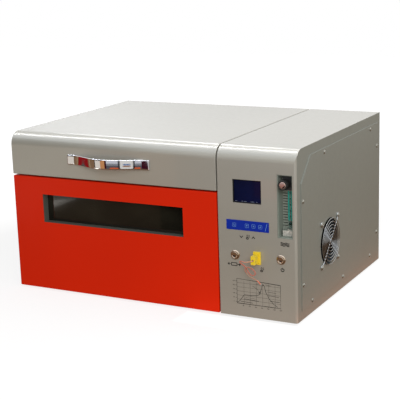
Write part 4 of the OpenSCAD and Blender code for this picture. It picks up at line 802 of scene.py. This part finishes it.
def rounded_rect(x0, x1, z0, z1, r, steps=5):
    return [(cx + r * cos(radians(start + 90 * k / steps)),
             cz + r * sin(radians(start + 90 * k / steps)))
            for cx, cz, start in ((x1 - r, z1 - r, 0), (x0 + r, z1 - r, 90),
                                  (x0 + r, z0 + r, 180), (x1 - r, z0 + r, 270))
            for k in range(steps + 1)]


def add_line(bm, points, width, y, closed=False, index=0):
    """Raised printed line through (x, z) points on the plane y, facing the front."""
    pts = [Vector(p) for p in points]
    n = len(pts)
    rings = []
    for i, p in enumerate(pts):
        a = pts[i - 1] if closed or i > 0 else p
        b = pts[(i + 1) % n] if closed or i < n - 1 else p
        d = (b - a).normalized()
        normal = Vector((-d.y, d.x))
        stretch = 1
        if closed or 0 < i < n - 1:
            first = (p - pts[i - 1]).normalized()
            stretch = 1 / max(0.5, abs(Vector((-first.y, first.x)).dot(normal)))
        s = normal * width / 2 * stretch
        rings.append([bm.verts.new(mm(q.x, yy, q.y)) for q, yy in (
            (p + s, y), (p - s, y), (p - s, y - PRINT_THICK), (p + s, y - PRINT_THICK))])
    bridge(bm, rings, closed, index=index)


def add_sign(bm, centre, points, width, y, closed=False):
    """Line through points given from a centre."""
    x, z = centre
    add_line(bm, [(x + u, z + v) for u, v in points], width, y, closed)


def make_keypad():
    """Membrane with four keys, each an embossed outline with a plain sign."""
    low, high = 167.3, 185.8
    bm = bmesh.new()
    add_box(bm, (168, KEY_FACE, low), (252, FRONT - 0.01, high), 0.3)
    new_piece("keypad_film", bm, "keypad", node="keypad_membrane", weighted=True)
    outline = rounded_rect(-3.4, 3.4, -3.3, 3.3, 1.4)
    arrow, stem = [(-1.3, 0.1), (0, 1.6), (1.3, 0.1)], [(0, -1.7), (0, 1.2)]
    bm = bmesh.new()
    for cx, head, tail, width, lift in (
            (183.6, [(-1.6, -1), (-1.6, 1.2), (0.4, 1.2)],
             [(-0.2, -1.2), (1.6, -1.2), (1.6, 0.4)], 0.5, 0),
            (208.8, arrow, stem, 0.55, 0.01),
            (221.8, [(-1.5, 0), (1.5, 0)], [(0, -1.5), (0, 1.5)], 0.55, 0.01),
            (235.2, [(x, -z) for x, z in arrow], [(x, -z) for x, z in stem], 0.55, 0.01)):
        centre = (cx, (low + high) / 2)
        add_sign(bm, centre, outline, 0.42, KEY_FACE, closed=True)
        add_sign(bm, centre, head, width, KEY_FACE)
        add_sign(bm, centre, tail, width, KEY_FACE - lift)
    add_line(bm, [(244.6, low + 2.2), (248.6, high - 2.2)], 0.6, KEY_FACE)
    new_piece("keypad_print", bm, "key_line")


make_display()
make_keypad()

# ---- push buttons

BUTTON_Z = 120
BEZEL = [(6.62, -10), (6.62, 1.5), (6.9, 2.05), (7.3, 2.2), (7.7, 2.15), (8.6, 1.1), (8.95, 0.7),
         (9, 0.1), (9, 0), (7.7, 0), (7.7, -1.5), (10.5, -1.5), (10.5, -4.5),
         (7.7, -4.5), (7.7, -24), (4, -24), (4, -10)]
BUTTON_CAP = [(0, 3.1), (3, 3.15), (4.6, 3.4), (5.4, 3.85), (5.9, 3.98), (6.25, 3.8),
              (6.5, 3.3), (6.5, -7), (3, -7), (3, -16), (0, -16)]


def make_buttons():
    bezels = bmesh.new()
    for x, label in ((184, "drawer"), (274.5, "nitrogen")):
        centre = (x, FRONT, BUTTON_Z)
        add_lathe(bezels, BEZEL, centre, FORWARD, 64, closed=True)
        cap = bmesh.new()
        add_lathe(cap, BUTTON_CAP, centre, FORWARD, 64)
        new_piece(label + "_key_cap", cap, "button_steel", 50,
                  label + "_button", label + "_push_button")
    new_piece("button_bezels", bezels, "button_steel", 50, "button_housings")


make_buttons()

# ---- flow meter

METER_L, METER_R, METER_LOW, METER_TOP = 268.3, 297.5, 159.5, 274.3
METER_MID = (METER_L + METER_R) / 2
METER_WALL, BLOCK_FACE = -200, -210.5
TUBE_X, TUBE_Y, FLOAT_Z, FLOAT_R = 285.9, -205, 183.5, 2.75
KNOB_Z, HEAD_LOW, FOOT_TOP = 257.8, 244.3, 172
KNOB_FRONT, KNOB_GRIPS = FRONT - 10, 24
# Radius, depth behind the knob's front and depth of its flutes
KNOB_PROFILE = ((6.5, 0.75, 0), (6.55, 0.12, 0), (6.8, 0, 0), (8.3, 0.15, 0), (8.8, 0.8, 0.4),
                (9, 1.6, 0.7), (9, 14.8, 0.7), (8.8, 15.5, 0), (8.3, 16, 0), (3, 16, 0),
                (3, 29, 0))


def make_scale():
    """Marks on the back wall, and the acrylic edges and marks seen through the tube."""
    face = METER_WALL - 0.03
    refine("flow_meter_housing", "meter_channel", "meter_body", 0.3)
    marks = bmesh.new()
    for i in range(13):
        z = FOOT_TOP + 6.2 + 4.9 * i
        add_line(marks, [(270.6 if i % 2 else 270, z), (279, z)], 1.5, face)
    for i in range(6):
        z = HEAD_LOW - 6.5 - 10.7 * i
        add_line(marks, [(TUBE_X - 2.1, z - 1.5), (TUBE_X - 2.1, z + 1.5)], 1.9, face)
    new_piece("meter_scale", marks, "meter_mark")
    strips = bmesh.new()
    for x0, x1 in ((TUBE_X - 6.3, TUBE_X - 3.2), (TUBE_X - 1, TUBE_X + 2.3)):
        add_box(strips, (x0, METER_WALL - 0.35, FLOAT_Z + 4), (x1, face, HEAD_LOW), 0.12)
    new_piece("meter_acrylic_edges", strips, "teal", weighted=True)


def make_block_faces():
    """Brushed face of the foot block, and a dark plate over the head block that paints the shade
    falling on the meter's upper part.
    """
    for name, mat, low, high in (
            ("meter_block_faces", "brushed_steel", METER_LOW + 2.2, FOOT_TOP - 0.6),
            # A dark plate over the head block: painted shade
            ("meter_head_shade_plate", "motor_black", HEAD_LOW + 0.6, METER_TOP - 2.2)):
        bm = bmesh.new()
        add_box(bm, (METER_MID - 9.4, BLOCK_FACE - 0.4, low),
                (METER_MID + 9.4, BLOCK_FACE - 0.02, high), 0.18)
        if mat == "brushed_steel":
            add_lathe(bm, [(4.55, 0.05), (5.2, 0.05), (5.2, 1.6), (4.55, 1.6)],
                      (TUBE_X, TUBE_Y, FOOT_TOP), UPWARD, 40, closed=True)
        new_piece(name, bm, mat, 40, weighted=True)


def make_knob():
    """Fluted needle-valve knob with a copper disc and a curved mark on its face."""
    knob = bmesh.new()
    rings = []
    for radius, y, wave in KNOB_PROFILE:
        ring = []
        for k, t in enumerate(turn(KNOB_GRIPS * 4)):
            r = radius - wave * (1, 0.35, 0, 0.35)[k % 4]
            ring.append(knob.verts.new(mm(METER_MID + r * cos(t), KNOB_FRONT + y,
                                          KNOB_Z + r * sin(t))))
        rings.append(ring)
    bridge(knob, rings)
    new_piece("needle_valve_knob", knob, "black_plastic", sharp=45, node="flow_knob",
              body="meter_knob")
    disc = bmesh.new()
    add_lathe(disc, [(0, 0.62), (3.8, 0.6), (5.6, 0.5), (6.2, 0.35), (6.4, 0), (6.4, -0.05),
                     (0, -0.05)], (METER_MID, KNOB_FRONT + 0.75, KNOB_Z), FORWARD, 56)
    new_piece("knob_face_disc", disc, "copper_face", 50, body="meter_knob")
    notch = bmesh.new()
    arc = [radians(-95 + 8 * k) for k in range(14)]
    add_line(notch, [(METER_MID + 4 * cos(t), KNOB_Z + 4 * sin(t)) for t in arc], 2.4,
             KNOB_FRONT + 0.13)
    new_piece("knob_direction_mark", notch, "ink", body="meter_knob")


def make_tube():
    tube = bmesh.new()
    add_lathe(tube, [(4.5, 170.1), (4.5, 248.2), (3.45, 248.2), (3.45, 170.1)],
              (TUBE_X, TUBE_Y, 0), UPWARD, 40, closed=True)
    new_piece("meter_tube", tube, "clear_glass", node="flow_tube")
    ball = bmesh.new()
    add_lathe(ball, [(FLOAT_R * sin(pi * k / 14), FLOAT_R * cos(pi * k / 14)) for k in range(15)],
              (TUBE_X, TUBE_Y, FLOAT_Z), UPWARD, 28)
    new_piece("meter_float_ball", ball, "black_plastic", node="flow_float", body="meter_float")


make_scale()
make_block_faces()
make_knob()
make_tube()

# ---- sensor socket and plug


def make_sensor():
    refine("sensor_socket", "sensor_socket_body", "yellow_plastic", 0.7)
    refine("sensor_plug", "sensor_plug_body", "yellow_plastic", 0.6, "sensor_lead")
    bush = bmesh.new()
    add_lathe(bush, [(1.95, 0.12), (1.95, -3.9), (1.05, -3.9), (1.05, -0.4), (1.5, 0.12)],
              PLUG_FACE, FORWARD, 28, closed=True)
    new_piece("plug_strain_bush", bush, "dark_red", 50, body="sensor_lead")
    heads = bmesh.new()
    for s in (-1, 1):
        add_screw(heads, (231.62, PLUG_FACE.y + 6 + 2.5 * (s + 1), PLUG_FACE.z + 3 * s),
                  RIGHTWARD, 1.35, 0.34, 0.6 * s)
    new_piece("plug_terminal_screws", heads, "machined_steel", body="sensor_lead")


make_sensor()

# ---- printed graph and signs

NUMBER_SIZE, NUMBER_RAISE = 3, 0.03
HEATING_CURVE = [
    (0, 0.03), (0.06, 0.10), (0.17, 0.37), (0.30, 0.37), (0.47, 0.40), (0.53, 0.47),
    (0.565, 0.70), (0.585, 0.84), (0.61, 0.87), (0.635, 0.80), (0.665, 0.58), (0.74, 0.33),
    (0.83, 0.15), (0.93, 0.04)]
# Plain strokes in the graph, as start, end and width
STROKES = (((0.16, 0.20), (0.50, 0.175), 0.75), ((0.18, 0.27), (0.46, 0.245), 0.3),
           ((0.08, 0.085), (0.36, 0.07), 0.75), ((0.70, 0.60), (0.90, 0.585), 0.5),
           ((0.72, 0.46), (0.96, 0.44), 0.7), ((0.76, 0.245), (0.98, 0.235), 0.75),
           ((0.45, 0.86), (0.56, 0.90), 0.5), ((0.66, 0.88), (0.78, 0.86), 0.5),
           ((0.62, 0), (0.90, 0), 1))


def at(u, v):
    """Point of the graph, whose axes run from 0 to 1."""
    x0, x1, z0, z1 = 186, 272.5, 28.5, 75.5
    return (x0 + (x1 - x0) * u, z0 + (z1 - z0) * v)


def add_number(bm, text, x, z):
    """Plain number centred on (x, z) on the front panel."""
    curve = bpy.data.curves.new("number", "FONT")
    curve.body, curve.resolution_u = text, 3
    curve.size, curve.extrude = NUMBER_SIZE, NUMBER_RAISE
    curve.align_x = curve.align_y = "CENTER"
    obj = link("number", curve)
    bpy.context.view_layer.update()
    depsgraph = bpy.context.evaluated_depsgraph_get()
    mesh = bpy.data.meshes.new_from_object(obj.evaluated_get(depsgraph))
    first = len(bm.verts)
    bm.from_mesh(mesh)
    bm.verts.ensure_lookup_table()
    for v in bm.verts[first:]:
        v.co = Vector(mm(x + v.co.x, FRONT - NUMBER_RAISE - v.co.z, z + v.co.y))
    bpy.data.objects.remove(obj)
    bpy.data.meshes.remove(mesh)
    bpy.data.curves.remove(curve)


def make_print():
    """A plain heating curve on a grid, and signs under the controls."""
    bm = bmesh.new()

    # Each line is lifted a hair above those that it crosses
    def plot(points, width, lift=0.02, index=0):
        add_line(bm, [at(*p) for p in points], width, FRONT - lift, index=index)

    def sign(cx, cz, points, width, lift=0, closed=False):
        add_sign(bm, (cx, cz), points, width, FRONT - lift, closed)

    for i in range(1, 7):
        plot([(i / 7 + 0.02, 0), (i / 7 + 0.02, 0.92)], 0.42, 0, 1)
    for j in range(1, 6):
        plot([(0, j / 6), (1, j / 6)], 0.42, 0.01, 1)
    plot([(0, 1), (0, 0), (1, 0), (1, 0.92), (0, 1)], 0.62)
    for j in range(6):
        v = j / 6 + 0.06
        plot([(-0.035, v), (-0.005, v)], 0.7)
        add_number(bm, str(50 * j), *at(-0.075, v))
    for i in range(1, 8):
        plot([(i / 7, 0), (i / 7, -0.03)], 0.6)
        add_number(bm, str(60 * i), *at(i / 7, -0.085))
    plot(HEATING_CURVE, 0.8, 0.03)
    plot([(0.36, 0.76), (0.44, 0.70), (0.52, 0.55)], 0.5, 0.03)
    plot([(0.505, 0.53), (0.535, 0.53)], 1.7, 0.04)
    for start, end, width in STROKES:
        plot([start, end], width)
    # Drawer sign: a box with an arrow out and an arrow in
    sign(181.5, 102, rounded_rect(-5.6, 5.6, -2.6, 2.6, 0.6, 2), 1.4, closed=True)
    for s in (-1, 1):
        sign(181.5, 102, [(s * 7.2, 0), (s * 12.4, 0)], 1.3)
        sign(181.5, 102, [(s * 9.8, 2.2), (s * 12.6, 0), (s * 9.8, -2.2)], 1.3, 0.01)
    # Temperature sign under the keypad, and one under the sensor socket
    for cx, cz in ((209, 156), (236, 98)):
        sign(cx, cz, rounded_rect(-1, 1, -2, 3.4, 0.9, 4), 0.8, closed=True)
        sign(cx, cz, rounded_rect(-1.9, 1.9, -4.4, -1.6, 1.3), 1.5, 0.01, closed=True)
        for k in range(4):
            sign(cx, cz - 0.8 + 1.4 * k, [(2.6, 0), (4.8, 0)], 0.7)
    # Marks that point up and down beside the upper one
    for s in (-1, 1):
        sign(209 + 12 * s, 155.2, [(-3, -1.7 * s), (0, 1.7 * s), (3, -1.7 * s)], 1.5)
    # Gas flow sign: three waves under the flow meter, and an on-off sign under its button
    for k in range(-1, 2):
        sign(274, 149 + 2.4 * k, [(1.2 * i, 0.7 * sin(i * 0.9)) for i in range(15)], 1.4)
    arc = [radians(a) for a in range(120, 421, 20)]
    sign(277, 101.5, [(3 * cos(t), 3 * sin(t)) for t in arc], 1.5)
    sign(277, 101.5, [(0, 0.4), (0, 4.2)], 1.5, 0.01)
    new_piece("panel_print", bm, ["ink", "faint_ink"])


make_print()

# ---- carried-over nodes

for obj in NODES.values():
    for slot in obj.material_slots:
        label = slot.material.name.split(".")[0] if slot.material else ""
        if label in MATS:
            slot.link = "OBJECT"
            slot.material = MATS[label]

# ---- studio

WORLD_LIGHT = 0.42
FLOOR_HALF, FLOOR_CELLS = 4, 24
BENCH_GLOW_NEAR, BENCH_GLOW_FAR = (0.50, 0.42, 0.33), (0.34, 0.325, 0.265)
BENCH_GLOSS = lin(128, 104, 84)
WHITE, TUBE_WHITE = (1, 1, 1), (0.96, 0.98, 1.04)
BENCH_Z, CEILING = 0.0006, 1.85
RING_X, RING_Y, RING_R, RING_INNER = -0.081, -0.25, 0.8, 0.79
RING_LOW, RING_TOP = 0.012, 0.42


def seen_ray(g):
    """1 for the rays that see the background, straight or in gloss or glass."""
    outputs = g.add("ShaderNodeLightPath").outputs
    straight = g.math("MAXIMUM", outputs["Is Camera Ray"], outputs["Is Glossy Ray"])
    return g.math("MAXIMUM", straight, outputs["Is Transmission Ray"])


def make_floor():
    """White floor with a soft shadow; the light it sends up is that of a wooden bench."""
    bm = bmesh.new()
    bmesh.ops.create_grid(bm, x_segments=FLOOR_CELLS, y_segments=FLOOR_CELLS, size=FLOOR_HALF)
    mesh = bpy.data.meshes.new("floor")
    bm.to_mesh(mesh)
    bm.free()
    floor = link("floor", mesh)
    g = look("floor")
    spot = g.place()
    seen = seen_ray(g)
    pale = g.mix(g.span(g.noise(spot, 3), 0, 1), (0.84, 0.84, 0.84), (0.86, 0.86, 0.86))
    plain = g.add("ShaderNodeBsdfDiffuse", {"Color": pale})
    warm = g.measure("DISTANCE", spot, (0.22, 0, 0))
    glow = g.mix(g.span(warm, 0, 1, 0.35, 0.75), BENCH_GLOW_NEAR, BENCH_GLOW_FAR)
    white = g.add("ShaderNodeEmission", {"Color": g.mix(seen, glow, WHITE), "Strength": 1.12})
    more = g.span(g.measure("LENGTH", spot), -0.22, 0.05, 0.60, 0.95)
    mesh.materials.append(g.show("ShaderNodeMixShader", {
        0: g.math("MULTIPLY_ADD", seen, more, 0.95), 1: plain.outputs[0], 2: white.outputs[0]}))


def make_lamp(name, place, target, size, power, colour):
    data = bpy.data.lights.new(name, "AREA")
    data.shape = "RECTANGLE"
    data.size, data.size_y = size
    data.energy, data.color = power, colour
    lamp = link(name, data)
    lamp.location = place
    direction = Vector(target) - Vector(place)
    lamp.rotation_euler = direction.to_track_quat("-Z", "Y").to_euler()
    lamp.visible_camera = lamp.visible_glossy = False


def make_card(name, corners, colour, strength=1):
    """Plain card that only mirrors and gloss see, as a room around the studio would be."""
    mesh = bpy.data.meshes.new(name)
    mesh.from_pydata([Vector(c) for c in corners], [], [tuple(range(len(corners)))])
    card = link(name, mesh)
    g = look(name)
    mesh.materials.append(g.show("ShaderNodeEmission", {"Color": colour, "Strength": strength}))
    card.visible_camera = card.visible_diffuse = False
    card.visible_shadow = card.visible_transmission = False
    return card


def flat_card(name, x0, y0, x1, y1, z, colour, strength=1):
    return make_card(name, [(x0, y0, z), (x1, y0, z), (x1, y1, z), (x0, y1, z)], colour, strength)


def upright_card(name, a, b, low, high, colour):
    make_card(name, [(*a, low), (*b, low), (*b, high), (*a, high)], colour)


def ring_card(name, start, end, low, high, colour, radius=RING_R):
    """Card standing on a circle about the bow, between two angles from straight ahead."""
    a, b = [(RING_X + radius * sin(radians(t)), RING_Y - radius * cos(radians(t)))
            for t in (start, end)]
    upright_card(name, a, b, low, high, lin(*colour))


def make_ring():
    """The room that the chrome bow mirrors, as cards in a circle."""
    plain = ((-120, -80.4, (72, 84, 80)), (-80.4, -74.7, (140, 20, 25)),
             (-74.7, -72.2, (130, 100, 75)), (-72.2, -70.5, (175, 150, 120)),
             (-70.5, -57, (130, 100, 75)), (-57, -54.5, (44, 34, 28)),
             (-54.5, -36, (226, 216, 206)), (-36, -21, (200, 140, 92)),
             (-21, -15.6, (60, 15, 30)), (10.4, 12.6, (14, 12, 14)), (12.6, 70, (226, 222, 218)))
    for i, (a, b, colour) in enumerate(plain):
        for k in range(3):
            ring_card(f"ring_{i}_{k}", a + (b - a) * k / 3, a + (b - a) * (k + 1) / 3, RING_LOW,
                      RING_TOP, colour)
    # Shade above the light cards, so that only the bow mirrors their white
    ring_card("ring_shade", -66, -30, 0.21, 0.80, (50, 48, 45), RING_INNER)
    for a, b, z0, z1, colour in ((15.1, 17.5, 0.112, 0.135, (70, 110, 165)),
                                 (14.9, 17.5, 0.082, 0.104, (150, 96, 60))):
        ring_card(f"ring_patch_{z0}", a, b, z0, z1, colour, RING_INNER)
    bands = ((RING_LOW, 0.066, (224, 96, 48)), (0.066, 0.10, (84, 84, 90)),
             (0.10, 0.14, (136, 136, 142)), (0.14, RING_TOP, (206, 206, 214)))
    for k, (z0, z1, colour) in enumerate(bands):
        for i, (a, b) in enumerate(((-15.6, -6), (-6, 2), (2, 10.4))):
            ring_card(f"ring_silver_{k}_{i}", a, b, z0, z1,
                      (96, 92, 96) if (k, i) == (0, 0) else colour)


def make_studio():
    world = bpy.data.worlds.new("studio")
    bpy.context.scene.world = world
    g = Graph(world, "ShaderNodeOutputWorld")
    strength = g.span(seen_ray(g), WORLD_LIGHT, 1, 0, 1)
    g.show("ShaderNodeBackground", {"Color": WHITE, "Strength": strength})
    make_floor()
    make_lamp("soft_top", (1.9, 0.1, 1.95), (0, 0, 0), (2.2, 1.6), 22, (1, 0.985, 0.975))
    make_lamp("soft_front", (1.5, -2.2, 1.4), (0, 0, 0.15), (1.6, 1.2), 32,
              (1, 0.99, 0.985))
    make_lamp("soft_right", (0.32, 0.02, 0.78), (0.32, 0.02, 0), (0.5, 0.5), 1.3,
              (1, 0.985, 0.975))
    # A tube overhead and a bright strip behind draw the two lines along the rounded edge
    flat_card("tube_over", -1.8, -0.12, 0.4, 0.04, CEILING, TUBE_WHITE, 17)
    strip = ((-0.42, 1.15), (-0.64, 0.95), (-3, 3.35), (-2.85, 3.5))
    make_card("strip_behind", [(x, y, CEILING) for x, y in strip], TUBE_WHITE, 8)
    # Cool light in front of the tube, mirrored by the rounded edge under the lines
    flat_card("front_over", -2.6, -2.2, 2.6, -0.16, 1.9, (1.42, 1.50, 1.66))
    # The bench and the room in front of the oven, seen only in gloss
    for name, x0, y0, x1, y1, colour in (
            ("far_left", -1.3, -1, -0.64, -0.66, (3.8, 3.6, 3.3)),
            ("farthest", -2.6, -2.6, -0.66, -1, BENCH_GLOSS),
            ("middle", -0.66, -2.6, -0.37, -0.62, BENCH_GLOSS),
            ("right", -0.37, -2.6, 2.6, -0.62, scaled(BENCH_GLOSS, 0.8)),
            ("near", -2.6, -0.62, 2.6, 3.4, BENCH_GLOSS)):
        flat_card("bench_" + name, x0, y0, x1, y1, BENCH_Z, colour)
    upright_card("dark_block", (-0.2315, -0.635), (0.16, -0.635), 0.001, 0.09, lin(22, 22, 26))
    # Warm glow along the bottom edges from the bench right beside them
    for name, x0, y0, x1, y1, colour in (
            ("side", 0.308, -0.24, 0.345, 0.24, (2.1, 0.92, 0.60)),
            ("front", 0.084, -0.285, 0.308, -0.226, (0.95, 0.76, 0.66))):
        card = flat_card("edge_" + name, x0, y0, x1, y1, BENCH_Z, colour)
        card.visible_diffuse, card.visible_glossy = True, False
    make_ring()


make_studio()
bpy.context.scene.view_settings.view_transform = "Standard"
